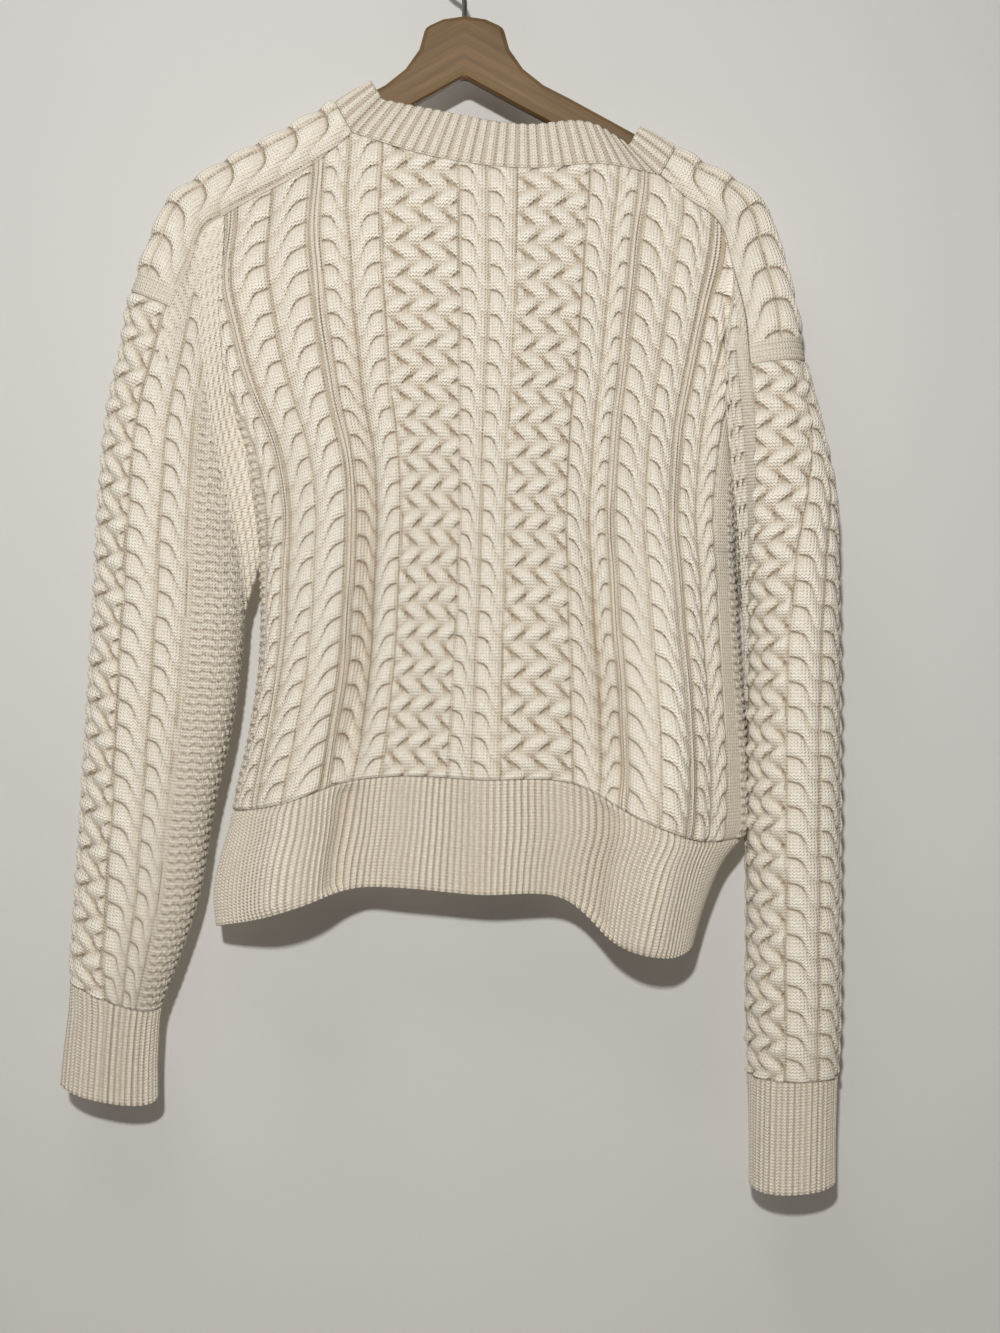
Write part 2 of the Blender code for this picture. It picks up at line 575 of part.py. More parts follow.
def garment():
    """Every piece of the sweater as a Cloth with its wall."""
    straps = {side: strap_grid(side) for side in STRAP}
    band = neckband_grid()
    neck = band[-1]
    parts = {}
    ring = {
        "back": neck[: NECK_COLUMNS + 1],
        "right": neck[NECK_COLUMNS : NECK_COLUMNS + STRAP_COLUMNS + 1],
        "front": neck[NECK_COLUMNS + STRAP_COLUMNS : 2 * NECK_COLUMNS + STRAP_COLUMNS + 1][::-1],
        "left": straps["left"][0],
    }
    straps["right"][0] = ring["right"]
    body = {}
    for side, out in (("back", 0), ("front", -1)):
        left = straps["left"][: SHOULDER_ROWS + 1, out][::-1]
        right = straps["right"][: SHOULDER_ROWS + 1, out]
        top = np.concatenate([left[:-1], ring[side], right[1:]])
        form = Form(lambda drop, shares, side=side: body_section(side, drop, shares), 0.15, 0.80)
        body[side] = body_grid(form, top, side)
        rib = ARMHOLE_ROWS + BODY_ROWS
        parts[side + "_panel"] = Cloth(side + "_panel", body[side][: rib + 1], flip=side == "front")
        parts["hem_" + side] = Cloth("hem_" + side, body[side][rib:], flip=side == "front")
    parts["neckband"] = Cloth("neckband", band, ring=True)
    for side, strap in straps.items():
        parts["strap_" + side] = Cloth("strap_" + side, strap, flip=side == "left")
        loop = sleeve_loop(body, strap, side)[:-1]
        bounds = SLEEVE[side][0][0], SLEEVE[side][-1][0]
        form = Form(lambda drop, shares, side=side: sleeve_section(side, drop, shares), *bounds)
        tube, out = sleeve_grid(form, loop, side)
        flip = side == "left"
        rows = slice(0, SLEEVE_ROWS + 1)
        parts["sleeve_" + side] = Cloth("sleeve_" + side, tube[rows], True, flip, out[rows])
        rows = slice(SLEEVE_ROWS, None)
        parts["cuff_" + side] = Cloth("cuff_" + side, tube[rows], True, flip, out[rows])
    pieces = list(parts.values())
    give_walls(pieces)
    for piece in pieces:
        open_seams(piece)
    for side, out in OUTWARD_X.items():  # the underarm stands clear of the side seam
        for column in (-1, 0, 1):
            parts["sleeve_" + side].outer[0, column, 0] += out * SEAM
            parts["sleeve_" + side].inner[0, column, 0] += out * SEAM
    return pieces


# ---- hanger and hook


def hanger_outline():
    """The hanger's outline in x and z, from the middle of its head round its right half and back."""
    right = [(x, -drop) for x, drop in HEAD]
    end = HANGER_HALF - ARM_HEIGHT / 2
    right += [(ARM_START[0], -ARM_START[1]), (end, -ARM_DROP - ARM_SLOPE * end)]
    middle = -ARM_DROP - ARM_SLOPE * end - ARM_HEIGHT / 2
    for angle in (60, 30, 0, -30, -60):
        a = math.radians(angle)
        right.append((end + ARM_HEIGHT / 2 * math.cos(a), middle + ARM_HEIGHT / 2 * math.sin(a) * 0.9))
    right.append((end - 0.006, -ARM_DROP - ARM_SLOPE * (end - 0.006) - ARM_HEIGHT))
    right += [(x, -drop) for x, drop in CROTCH]
    return right + [(-x, z) for x, z in right[-2:0:-1]]


def make_hanger():
    outline = hanger_outline()
    model = bmesh.new()
    corners = [model.verts.new((x, -HANGER_DEPTH / 2, z)) for x, z in outline]
    face = model.faces.new(corners)
    moved = bmesh.ops.extrude_face_region(model, geom=[face])["geom"]
    grown = [v for v in moved if isinstance(v, bmesh.types.BMVert)]
    bmesh.ops.translate(model, verts=grown, vec=(0, HANGER_DEPTH, 0))
    bmesh.ops.recalc_face_normals(model, faces=model.faces)
    mesh = bpy.data.meshes.new("hanger")
    model.to_mesh(mesh)
    model.free()
    hanger = bpy.data.objects.new("hanger", mesh)
    bevel = hanger.modifiers.new("soft edges", "BEVEL")
    bevel.width = 0.0035
    bevel.segments = 2
    bevel.limit_method = "ANGLE"
    bevel.angle_limit = math.radians(50)
    return hanger


def make_hook():
    """Steel wire: up from the head, over to the left, round over the top and down on the right."""
    top = WIRE / 2
    middle = top - HOOK_RADIUS
    route = [(0.0, -HEAD[0][1] + HOOK_GAP), (0.0, -0.056), (-0.001, -0.050)]
    route += [(-0.006, -0.0435), (-0.013, -0.0385)]
    for step in range(13):
        a = math.radians(220 - step * 20)
        route.append((HOOK_RADIUS * math.cos(a), middle + HOOK_RADIUS * math.sin(a)))
    curve = bpy.data.curves.new("hook", "CURVE")
    curve.dimensions = "3D"
    spline = curve.splines.new("POLY")
    points = smooth_line([(x, 0.0, z) for x, z in route], 26)
    spline.points.add(len(points) - 1)
    for point, place in zip(spline.points, points):
        point.co = (*place, 1.0)
    curve.bevel_depth = WIRE / 2
    curve.bevel_resolution = 2
    curve.use_fill_caps = True
    return bpy.data.objects.new("hook", curve)


# ---- materials and the whole


def material(name, colour, roughness, metallic=0.0):
    made = bpy.data.materials.new(name)
    made.use_nodes = True
    shader = made.node_tree.nodes["Principled BSDF"]
    shader.inputs["Base Color"].default_value = (*colour, 1.0)
    shader.inputs["Roughness"].default_value = roughness
    shader.inputs["Metallic"].default_value = metallic
    return made


def main():
    remove_everything()
    link = bpy.context.scene.collection.objects.link
    for piece in garment():
        thing = bpy.data.objects.new(piece.name, wall_mesh(piece))
        thing.data.materials.append(material(piece.name, (0.78, 0.71, 0.59), 0.9))
        link(thing)
    for thing, colour, roughness, metallic in (
        (make_hanger(), (0.42, 0.29, 0.17), 0.5, 0.0),
        (make_hook(), (0.35, 0.34, 0.32), 0.35, 1.0),
    ):
        thing.data.materials.append(material(thing.name, colour, roughness, metallic))
        link(thing)


main()
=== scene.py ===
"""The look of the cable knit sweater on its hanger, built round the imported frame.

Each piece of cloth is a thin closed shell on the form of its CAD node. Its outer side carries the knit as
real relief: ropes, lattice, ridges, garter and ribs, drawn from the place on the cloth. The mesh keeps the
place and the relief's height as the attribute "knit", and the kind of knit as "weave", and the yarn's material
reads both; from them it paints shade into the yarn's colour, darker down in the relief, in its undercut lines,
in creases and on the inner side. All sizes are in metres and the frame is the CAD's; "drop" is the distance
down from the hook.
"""

import math

import bpy
import numpy as np
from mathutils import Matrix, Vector


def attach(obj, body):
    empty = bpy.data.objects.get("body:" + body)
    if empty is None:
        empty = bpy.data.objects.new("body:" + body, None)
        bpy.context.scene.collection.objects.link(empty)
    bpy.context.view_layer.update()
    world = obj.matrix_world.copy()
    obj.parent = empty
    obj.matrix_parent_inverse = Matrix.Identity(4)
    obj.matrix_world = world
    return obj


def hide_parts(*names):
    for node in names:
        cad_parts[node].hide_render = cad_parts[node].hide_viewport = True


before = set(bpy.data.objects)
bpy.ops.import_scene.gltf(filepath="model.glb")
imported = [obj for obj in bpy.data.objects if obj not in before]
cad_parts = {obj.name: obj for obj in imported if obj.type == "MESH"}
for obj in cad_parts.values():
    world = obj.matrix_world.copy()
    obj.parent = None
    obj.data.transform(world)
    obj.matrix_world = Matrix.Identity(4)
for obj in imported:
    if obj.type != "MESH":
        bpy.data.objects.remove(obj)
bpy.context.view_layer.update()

CLOTH = 0.0035  # thickness of the knitted wall under its relief
SEAM = 0.0004  # gap between two pieces at a seam
CUT_HALF = 0.245  # half the width of the back, and of the front, under the arms
CUT_FIXED = 0.15  # the part of it that the armholes don't narrow
SLEEVE_HALF = 0.150  # half the sleeve's width at its head
SLEEVE_FIXED = 0.085
STRAP_CORNER = 0.118  # along a strap from the neck to where front, back and sleeve meet
SHOULDER_FADE, SLEEVE_FADE = 0.07, 0.06  # how far down the form takes over from a piece's upper edge
PANEL_LENGTH, RIB_LENGTH = 0.5, 0.08  # about how long a panel or sleeve is, and a hem or cuff

BODY_COLUMNS = "drop left right centre back front power seam_left seam_right"
BODY = [
    (0.150, -0.184, 0.190, 0.0232, -0.0150, 0.0150, 2.5, 0.000, 0.002),
    (0.220, -0.184, 0.190, 0.0232, -0.0200, 0.0190, 2.5, 0.000, 0.003),
    (0.260, -0.183, 0.192, 0.0232, -0.0225, 0.0210, 2.5, 0.000, 0.004),
    (0.300, -0.181, 0.195, 0.0225, -0.0250, 0.0230, 2.5, 0.000, 0.005),
    (0.360, -0.174, 0.198, 0.0205, -0.0280, 0.0260, 2.5, 0.000, 0.006),
    (0.400, -0.162, 0.200, 0.0190, -0.0310, 0.0280, 2.5, 0.000, 0.006),
    (0.440, -0.156, 0.202, 0.0174, -0.0330, 0.0300, 2.5, 0.000, 0.006),
    (0.480, -0.154, 0.2045, 0.0160, -0.0350, 0.0310, 2.5, 0.000, 0.006),
    (0.560, -0.154, 0.2090, 0.0135, -0.0380, 0.0330, 2.5, 0.000, 0.004),
    (0.615, -0.162, 0.2125, 0.0120, -0.0400, 0.0350, 2.6, 0.000, 0.002),
    (0.655, -0.171, 0.2135, 0.0110, -0.0410, 0.0360, 2.7, 0.000, 0.000),
    (0.685, -0.177, 0.2120, 0.0105, -0.0415, 0.0360, 2.7, 0.000, 0.000),
    (0.705, -0.183, 0.1960, 0.0100, -0.0415, 0.0360, 2.8, 0.000, 0.000),
    (0.730, -0.188, 0.1840, 0.0095, -0.0420, 0.0360, 2.8, 0.000, 0.000),
    (0.760, -0.186, 0.1740, 0.0092, -0.0420, 0.0360, 2.8, 0.000, 0.000),
    (0.790, -0.184, 0.1660, 0.0090, -0.0420, 0.0360, 2.8, 0.000, 0.000),
]
# Folds hang down the cloth: where they start, their place there and at the hem, width and depth (out is -)
# columns: side start top_x hem_x width depth
FOLDS = [
    ("back", 0.40, -0.145, -0.128, 0.040, -0.032),
    ("back", 0.50, -0.090, -0.072, 0.020, 0.021),
    ("back", 0.52, 0.070, 0.083, 0.024, 0.014),
    ("back", 0.38, 0.165, 0.146, 0.040, -0.040),
    ("front", 0.42, -0.110, -0.100, 0.036, 0.012),
    ("front", 0.52, -0.030, -0.045, 0.024, -0.020),
    ("front", 0.45, 0.050, 0.030, 0.034, 0.010),
    ("front", 0.50, 0.110, 0.105, 0.026, -0.022),
    ("front", 0.44, 0.160, 0.155, 0.030, 0.010),
]
FOLD_LENGTH = 0.36  # from a fold's start to its full depth
BODY_TOP, BODY_BOTTOM = 0.15, 0.80  # the drops that the body's form covers
ARMHOLE = {"left": (0.470, 0.0150), "right": (0.475, 0.0120)}  # underarm drop, half the gap
GAP_REACH = 0.3  # how far in from an armhole its gap shapes the panel, as a share of half the panel

# Rib seam and lower edge of the body, by place across the cloth as cut
RIB_COLUMNS = "place back_rib back_edge front_rib front_edge"
RIB = [
    (-0.245, 0.671, 0.758, 0.671, 0.758),
    (-0.171, 0.662, 0.7435, 0.659, 0.743),
    (-0.122, 0.648, 0.729, 0.651, 0.7345),
    (-0.073, 0.642, 0.7235, 0.649, 0.7325),
    (0.000, 0.6445, 0.7285, 0.650, 0.7335),
    (0.073, 0.648, 0.733, 0.653, 0.737),
    (0.122, 0.670, 0.761, 0.664, 0.748),
    (0.171, 0.687, 0.7725, 0.678, 0.762),
    (0.245, 0.690, 0.768, 0.690, 0.768),
]

# Straps lie over the hanger's arms. Their form is a row of superellipses: the outer line's x and drop, the
# lean of its normal in degrees, half height, half depth, power, half width of the strap, and how far the
# strap's middle is turned to the back.
# columns: x drop lean high deep power half turn
STRAP = {
    "left": [
        (-0.0705, 0.1187, 29, 0.030, 0.0126, 3.5, 0.026, 0.000),
        (-0.0980, 0.1345, 29, 0.030, 0.0126, 3.5, 0.036, 0.000),
        (-0.1350, 0.1552, 29, 0.030, 0.0126, 3.5, 0.043, 0.000),
        (-0.1960, 0.1884, 33, 0.0305, 0.0131, 3.2, 0.044, 0.000),
        (-0.2215, 0.2068, 50, 0.033, 0.0155, 2.8, 0.044, 0.001),
        (-0.2380, 0.2420, 61, 0.037, 0.0190, 2.5, 0.044, 0.003),
        (-0.2520, 0.2780, 66, 0.041, 0.0230, 2.4, 0.044, 0.004),
    ],
    "right": [
        (0.1330, 0.1530, 29, 0.030, 0.0126, 3.5, 0.026, 0.000),
        (0.1600, 0.1688, 29, 0.030, 0.0126, 3.5, 0.033, 0.000),
        (0.1860, 0.1833, 29, 0.030, 0.0126, 3.5, 0.039, 0.000),
        (0.2050, 0.1936, 34, 0.0305, 0.0131, 3.2, 0.040, 0.001),
        (0.2240, 0.2098, 53, 0.034, 0.0155, 2.8, 0.040, 0.006),
        (0.2390, 0.2450, 68, 0.036, 0.0200, 2.5, 0.040, 0.012),
        (0.2500, 0.2880, 76, 0.035, 0.0320, 2.3, 0.040, 0.022),
        (0.2565, 0.3320, 82, 0.034, 0.0410, 2.2, 0.040, 0.032),
    ],
}
# The neckline between the straps: seam and band edge, outer side
# columns: x y drop
NECK_SEAM = {
    "back": [(-0.030, -0.0150, 0.1765), (0.045, -0.0160, 0.1870), (0.108, -0.0150, 0.1840)],
    "front": [(-0.045, 0.0160, 0.2130), (0.035, 0.0190, 0.2560), (0.118, 0.0160, 0.2200)],
}
NECK_EDGE = {
    "back": [(-0.018, -0.0125, 0.1432), (0.045, -0.0130, 0.1535), (0.096, -0.0125, 0.1525)],
    "front": [(-0.032, 0.0150, 0.1860), (0.035, 0.0180, 0.2230), (0.103, 0.0150, 0.1930)],
}
BAND_CROWN = 0.0008  # how far the neckband's middle stands out

SLEEVE_COLUMNS = "drop x y wide deep power turn under"
SLEEVE = {
    "left": [
        (0.220, -0.195, 0.000, 0.030, 0.016, 2.5, 0.002, 0.50),
        (0.260, -0.206, 0.000, 0.038, 0.020, 2.5, 0.003, 0.50),
        (0.320, -0.213, -0.001, 0.045, 0.026, 2.4, 0.004, 0.50),
        (0.360, -0.217, -0.002, 0.050, 0.030, 2.3, 0.004, 0.50),
        (0.435, -0.221, -0.003, 0.053, 0.033, 2.3, 0.004, 0.50),
        (0.526, -0.2235, -0.004, 0.055, 0.034, 2.3, 0.004, 0.50),
        (0.593, -0.2290, -0.004, 0.0535, 0.034, 2.3, 0.005, 0.50),
        (0.678, -0.2405, -0.004, 0.0472, 0.034, 2.3, 0.006, 0.50),
        (0.736, -0.2475, -0.004, 0.0442, 0.032, 2.3, 0.006, 0.50),
        (0.789, -0.2580, -0.004, 0.0372, 0.029, 2.3, 0.006, 0.50),
        (0.815, -0.2635, -0.004, 0.0330, 0.025, 2.3, 0.006, 0.50),
        (0.850, -0.2675, -0.004, 0.0335, 0.022, 2.3, 0.006, 0.50),
        (0.900, -0.2700, -0.004, 0.0360, 0.021, 2.3, 0.006, 0.50),
    ],
    "right": [
        (0.220, 0.195, 0.000, 0.028, 0.016, 2.5, 0.006, 0.50),
        (0.260, 0.208, 0.000, 0.034, 0.022, 2.5, 0.014, 0.50),
        (0.300, 0.2170, -0.002, 0.035, 0.032, 2.4, 0.024, 0.50),
        (0.332, 0.2215, -0.004, 0.035, 0.040, 2.3, 0.032, 0.50),
        (0.390, 0.2335, -0.005, 0.0365, 0.044, 2.3, 0.047, 0.50),
        (0.437, 0.2410, -0.005, 0.0370, 0.046, 2.2, 0.062, 0.50),
        (0.480, 0.2450, -0.005, 0.0350, 0.047, 2.2, 0.074, 0.52),
        (0.526, 0.2475, -0.005, 0.0330, 0.047, 2.2, 0.080, 0.58),
        (0.640, 0.2483, -0.005, 0.0328, 0.046, 2.2, 0.082, 0.74),
        (0.740, 0.2483, -0.005, 0.0328, 0.043, 2.2, 0.080, 0.80),
        (0.840, 0.2480, -0.005, 0.0328, 0.038, 2.2, 0.074, 0.80),
        (0.870, 0.2480, -0.005, 0.0320, 0.032, 2.2, 0.068, 0.80),
        (0.910, 0.2480, -0.005, 0.0308, 0.029, 2.2, 0.065, 0.80),
        (0.965, 0.2480, -0.005, 0.0305, 0.028, 2.2, 0.065, 0.80),
    ],
}
# Cuff seam and cuff edge: the drop at a place x, and how much it grows with x and towards -y
# columns: x drop by_x by_y
CUFF = {
    "left": [(-0.2635, 0.804, 0.35, 0.20), (-0.2700, 0.880, 0.20, 0.20)],
    "right": [(0.2480, 0.868, 0.00, 0.00), (0.2480, 0.950, -0.08, 0.05)],
}
OUTWARD_X = {"left": -1.0, "right": 1.0}

# How finely a form is worked out, and the steps that its normals are taken over
SECTION_POINTS = 241
FORM_ROWS, FORM_PLACES = 121, 81
SHARE_STEP, DROP_STEP = 0.02, 0.004

# Fine grids: rows down and columns across
PANEL_GRID = {"back": (304, 300), "front": (252, 244)}
HEM_GRID = (40, 520)
SLEEVE_GRID = (360, 200)
CUFF_GRID = (40, 224)
STRAP_GRID = (136, 56)
BAND_GRID = (20, 720)
NECK_LINE, STRAP_LINE, PANEL_LINE = 161, 41, 161  # points of a line along the neck, a strap and an armhole
NECK_SHARES = (0, 0.28, 0.44, 0.84, 1)  # how the neckband's columns are shared between back, arm, front, arm

# The knit. Its kinds are numbers, which the yarn's material tells apart.
ROPE_KIND, LATTICE_KIND, RIDGE_KIND, RIB_KIND, GARTER_KIND = 1.0, 2.0, 3.0, 4.0, 5.0
PERIODS = {"rope": 0.0185, "cable": 0.0265}  # how far a rope's lobes lie apart
ROPE_HEIGHT, ROPE_FLOOR = 0.0052, 0.25  # a lobe's height, and the share of it that is left between lobes
ROPE_BEND, ROPE_TURN = 0.16, -0.2  # how sharply a strand crosses its rope, and where
ROPE_CLIMB, ROPE_DRIFT = 0.86, 0.09  # the lobes that it climbs in crossing, and beside that
LOBE_SKEW, LOBE_ROUND, LOBE_TILT, ROPE_SQUARE = 0.60, 0.75, 0.18, 3.2  # the shape of a lobe along and across
ROPE_SHIFT, ROPE_SPREAD = 0.004, 900  # how far ropes are shifted against each other, by where they start
LATTICE_STEP, LATTICE_RISE, LATTICE_HEIGHT = 0.0205, 0.0135, 0.0054  # strands apart, crossings apart, height
LATTICE_SWING, STRAND_HALF = 0.35, 0.0063  # how much a strand's slope varies, and its half width
STRAND_REST, STRAND_ROUND = 0.42, 0.45  # a strand's height midway between crossings, and its roundness
RISING_LIFT = 0.75  # the lift of the strands of one way, as a share of the others'
LATTICE_SIDE = 0.002  # how far in from its sides a lattice reaches its full height
WALE, RIDGE_HEIGHT = 0.0030, 0.0024
GARTER_PITCH, GARTER_HEIGHT, GARTER_BASE = 0.0062, 0.0024, 0.0012
GARTER_BUMP, GARTER_UNEVEN, GARTER_ROUND = 0.0080, 0.20, 0.8  # the bumps along a ridge, and its roundness
GARTER_WAVES = [(0.0009, 0.016), (0.0005, 0.0067)]  # height and length of the waves in a garter ridge
RIB_PITCH, RIB_HEIGHT, RIB_BASE, RIB_ROUND = 0.0050, 0.0019, 0.0009, 0.42
CUFF_PITCH, BAND_PITCH = 0.0045, 0.0088
PLAIN_HEIGHT = 0.0018
GROUND = 0.0010  # how far the purl ground sinks under the cloth's even face
SWAY = [(0.0007, 31, 17), (0.0004, 83, -29)]  # how the knit strays sideways: size, waves up and across
SWAY_UP = (0.0009, 23, 11)
SEAM_RAMP, RIB_RAMP = 0.0025, 0.001  # how far from a seam the relief reaches its full height
HEM_REST = 0.002  # added to the distance from a free edge, so that the relief doesn't end before it
STRAP_END = 0.017  # the plain band at a strap's end
STRAP_END_BASE, STRAP_END_HEIGHT, STRAP_END_PITCH = 0.0012, 0.0012, 0.0045  # its rows
SHADE_OF_CREASE = 0.15  # how far a crease's depth counts as depth of the relief in the yarn's tone, so that creases are painted darker as shade
INSIDE_SHADE_HEIGHT = -0.004  # the height that the inner side has in the yarn's tone: low, so that it is painted in the darkest tone as shade
# The bands of knit across a piece, and which way a rope's strands rise: 1 is to the right
# columns: start end kind hand
BACK_BANDS = [
    (-0.250, -0.222, "garter", 0),
    (-0.2210, -0.2030, "rope", 1),
    (-0.2025, -0.1965, "ridge", 0),
    (-0.195, -0.1685, "rope", 1),
    (-0.168, -0.1385, "rope", 1),
    (-0.1365, -0.1295, "ridge", 0),
    (-0.1285, -0.1095, "rope", -1),
    (-0.1090, -0.0850, "rope", 1),
    (-0.0840, -0.0265, "lattice", 0),
    (-0.0260, -0.0055, "rope", -1),
    (-0.0050, 0.0165, "rope", -1),
    (0.0170, 0.0715, "lattice", 0),
    (0.0725, 0.0925, "rope", -1),
    (0.0930, 0.1075, "rope", 1),
    (0.1085, 0.1145, "ridge", 0),
    (0.1155, 0.1410, "rope", -1),
    (0.1415, 0.1630, "rope", -1),
    (0.1640, 0.1700, "ridge", 0),
    (0.1720, 0.1880, "rope", -1),
    (0.1885, 0.2060, "rope", 1),
    (0.2070, 0.2220, "plain", 0),
    (0.2220, 0.2500, "garter", 0),
]
SLEEVE_BANDS = {
    "left": [
        (-0.1510, -0.0905, "garter", 0),
        (-0.0890, -0.0680, "rope", 1),
        (-0.0670, -0.0425, "rope", 1),
        (-0.0420, -0.0170, "rope", 1),
        (-0.0160, 0.0385, "lattice", 0),
        (0.0395, 0.0645, "rope", -1),
        (0.0650, 0.0890, "rope", -1),
        (0.0895, 0.0930, "plain", 0),
        (0.0930, 0.1510, "garter", 0),
    ],
    "right": [
        (-0.1510, -0.1085, "garter", 0),
        (-0.1075, -0.0855, "rope", 1),
        (-0.0850, -0.0625, "rope", 1),
        (-0.0620, -0.0395, "plain", 0),
        (-0.0390, 0.0060, "lattice", 0),
        (0.0065, 0.0315, "rope", -1),
        (0.0320, 0.0570, "rope", -1),
        (0.0580, 0.0640, "ridge", 0),
        (0.0655, 0.0890, "rope", -1),
        (0.0905, 0.1510, "garter", 0),
    ],
}
SLEEVE_STRIP = {"left": 0.052, "right": 0.024}  # how wide the plain strip along the armhole's back edge is
STRIP_FROM, STRIP_END = 0.045, 0.1  # how far round the sleeve it begins, and how far above the cuff it ends
STRIP_HEIGHT, STRIP_PITCH = 0.0012, 0.011  # the low ridges that run along it
# Creases, one by one: their middle, across and up the cloth, length, width, depth (in is -) and lean
# columns: across up long wide deep lean
BACK_CREASES = [
    (-0.118, 0.13, 0.20, 0.0090, -0.0150, 0.00),
    (0.100, 0.05, 0.13, 0.0120, -0.0090, -0.06),
    (0.152, 0.10, 0.16, 0.0160, 0.0050, 0.00),
    (-0.160, 0.20, 0.12, 0.0180, 0.0040, 0.05),
]
HEM_CREASES = [
    (-0.165, 0.040, 0.08, 0.022, 0.0050, 0.00),
    (-0.112, 0.045, 0.09, 0.011, -0.0070, 0.05),
    (-0.040, 0.030, 0.05, 0.016, 0.0020, 0.00),
    (0.098, 0.045, 0.09, 0.015, -0.0060, -0.10),
    (0.150, 0.030, 0.07, 0.022, 0.0040, 0.00),
]
CREASE_RAMP, HEM_CREASE_RAMP = 0.03, 0.008  # how far from an edge a crease reaches its full depth
STRAP_BANDS = [
    (-0.0470, -0.0420, "plain", 0),
    (-0.0415, -0.0140, "cable", 1),
    (-0.0135, 0.0135, "cable", -1),
    (0.0140, 0.0415, "cable", -1),
    (0.0420, 0.0470, "plain", 0),
]

# The cut of each piece: width and length laid flat, its area, and what it hangs from
CUTS = {
    "back_panel": ((0.49, 0.52), 0.225, ["hanger"]),
    "front_panel": ((0.49, 0.50), 0.215, ["hanger"]),
    "hem_back": ((0.45, 0.084), 0.0378, ["back_panel"]),
    "hem_front": ((0.45, 0.084), 0.0378, ["front_panel"]),
    "neckband": ((0.70, 0.034), 0.0235, ["hanger"]),
    "strap_left": ((0.088, 0.20), 0.0166, ["hanger"]),
    "strap_right": ((0.080, 0.21), 0.0155, ["hanger"]),
    "sleeve_left": ((0.30, 0.60), 0.140, ["strap_left"]),
    "sleeve_right": ((0.30, 0.62), 0.140, ["strap_right"]),
    "cuff_left": ((0.18, 0.078), 0.0140, ["sleeve_left"]),
    "cuff_right": ((0.19, 0.083), 0.0157, ["sleeve_right"]),
}

# Colours, as linear light. The yarn's follow the height of the relief, as a share of a rope's: its tops are
# cream, and lower down it is painted darker and browner as shade.
YARN_TONES_AND_DEPTH_SHADE = [
    (0.0, (0.40, 0.315, 0.225)),
    (0.22, (0.575, 0.518, 0.432)),
    (0.5, (0.70, 0.655, 0.575)),
    (1.0, (0.80, 0.77, 0.705)),
]
YARN_LEVEL = 0.24  # added to that share
YARN_PAINTED_SHADE, CREVICE_SHADE_AMOUNT = (0.25, 0.175, 0.105), 0.86  # the painted shade in the undercut lines and holes, and how much of it
# A warmer tone for random patches; a darker one for random specks and for the painted shade in the stitches
YARN_WARM, YARN_SPECK_AND_SHADE = (0.94, 0.88, 0.80), (0.80, 0.74, 0.66)
WOOD_TONES = [(0.25, (0.080, 0.045, 0.016)), (0.5, (0.122, 0.071, 0.027)), (0.75, (0.165, 0.100, 0.041))]
WOOD_PORES = (0.45, 0.33, 0.22)
ARM_SLOPE = 0.56  # how steeply the hanger's arms fall, which their grain follows
GRAIN_SCALES, PORE_SCALES = (6.0, 40.0, 95.0), (30.0, 400.0, 900.0)
STEEL_TONES = [(0.3, (0.16, 0.155, 0.15)), (0.8, (0.26, 0.25, 0.24))]
WALL_TONES = [(0.35, (0.455, 0.45, 0.438)), (0.65, (0.475, 0.47, 0.456))]
FLOOR_TONES = [(0.3, (0.62, 0.59, 0.55)), (0.7, (0.601, 0.572, 0.534))]
PATCH_SCALE, SPECK_SCALE, FUZZ_SCALE = 9.0, 430.0, 1500.0
STITCH_WIDTH, STITCH_HEIGHT = 0.0026, 0.0024
CREVICE_BUMP, STITCH_BUMP, FUZZ_BUMP = 0.0009, 0.0010, 0.0006
CREVICE_STRENGTH, STITCH_STRENGTH, FUZZ_STRENGTH = 0.7, 0.9, 0.6
HOLE_PITCH = 0.0030  # the small holes along both sides of a rope, only painted dark as shade and sunk in the bump

# The room
WALL_Y, FLOOR_Z = 0.056, -1.45
ROOM_HALF, ROOM_TOP = 3.0, 2.0
WORLD_COLOUR, WORLD_STRENGTH = (1.0, 0.90, 0.78), 0.15
# columns: name place target size power colour
LIGHTS = [
    ("lamp", (-0.06, -1.50, -0.22), (0.0, 0.0, -0.50), (0.05, 0.05), 24.0, (1.0, 0.995, 0.975)),
    ("ceiling", (-0.3, -0.9, 0.6), (0.0, 0.0, -0.6), (0.7, 0.7), 5.0, (1.0, 0.99, 0.97)),
    ("rear", (0.3, 1.5, 0.1), (0.0, 0.0, -0.5), (0.6, 0.6), 20.0, (1.0, 0.96, 0.90)),
]
VIEW_X, VIEW_Z, VIEW_DISTANCE, VIEW_HEIGHT = 0.027, -0.561, 1.25, 1.01308


# ---- curves and tables


def smooth(at, knots, values):
    """A cubic through the values, whose slopes come from their neighbours, held level past the ends."""
    knots, values = np.asarray(knots, float), np.asarray(values, float)
    slopes = np.gradient(values, knots, axis=0)
    at = np.asarray(at, float)
    i = np.clip(np.searchsorted(knots, at, side="right") - 1, 0, len(knots) - 2)
    span = knots[i + 1] - knots[i]
    t = np.clip((at - knots[i]) / span, 0, 1)
    if values.ndim > 1:
        span, t = span[..., None], t[..., None]
    start = (1 + 2 * t) * (1 - t) ** 2 * values[i] + t * (1 - t) ** 2 * span * slopes[i]
    end = t * t * (3 - 2 * t) * values[i + 1] + t * t * (t - 1) * span * slopes[i + 1]
    return start + end


def columns_at(names, table, at):
    """The table's columns by name, at a value of its first column."""
    rows = np.array(table)
    return dict(zip(names.split()[1:], smooth(at, rows[:, 0], rows[:, 1:]).T))


def lengths(points):
    """How far along the line each point lies."""
    steps = np.linalg.norm(np.diff(points, axis=0), axis=1)
    return np.concatenate([[0.0], np.cumsum(steps)])


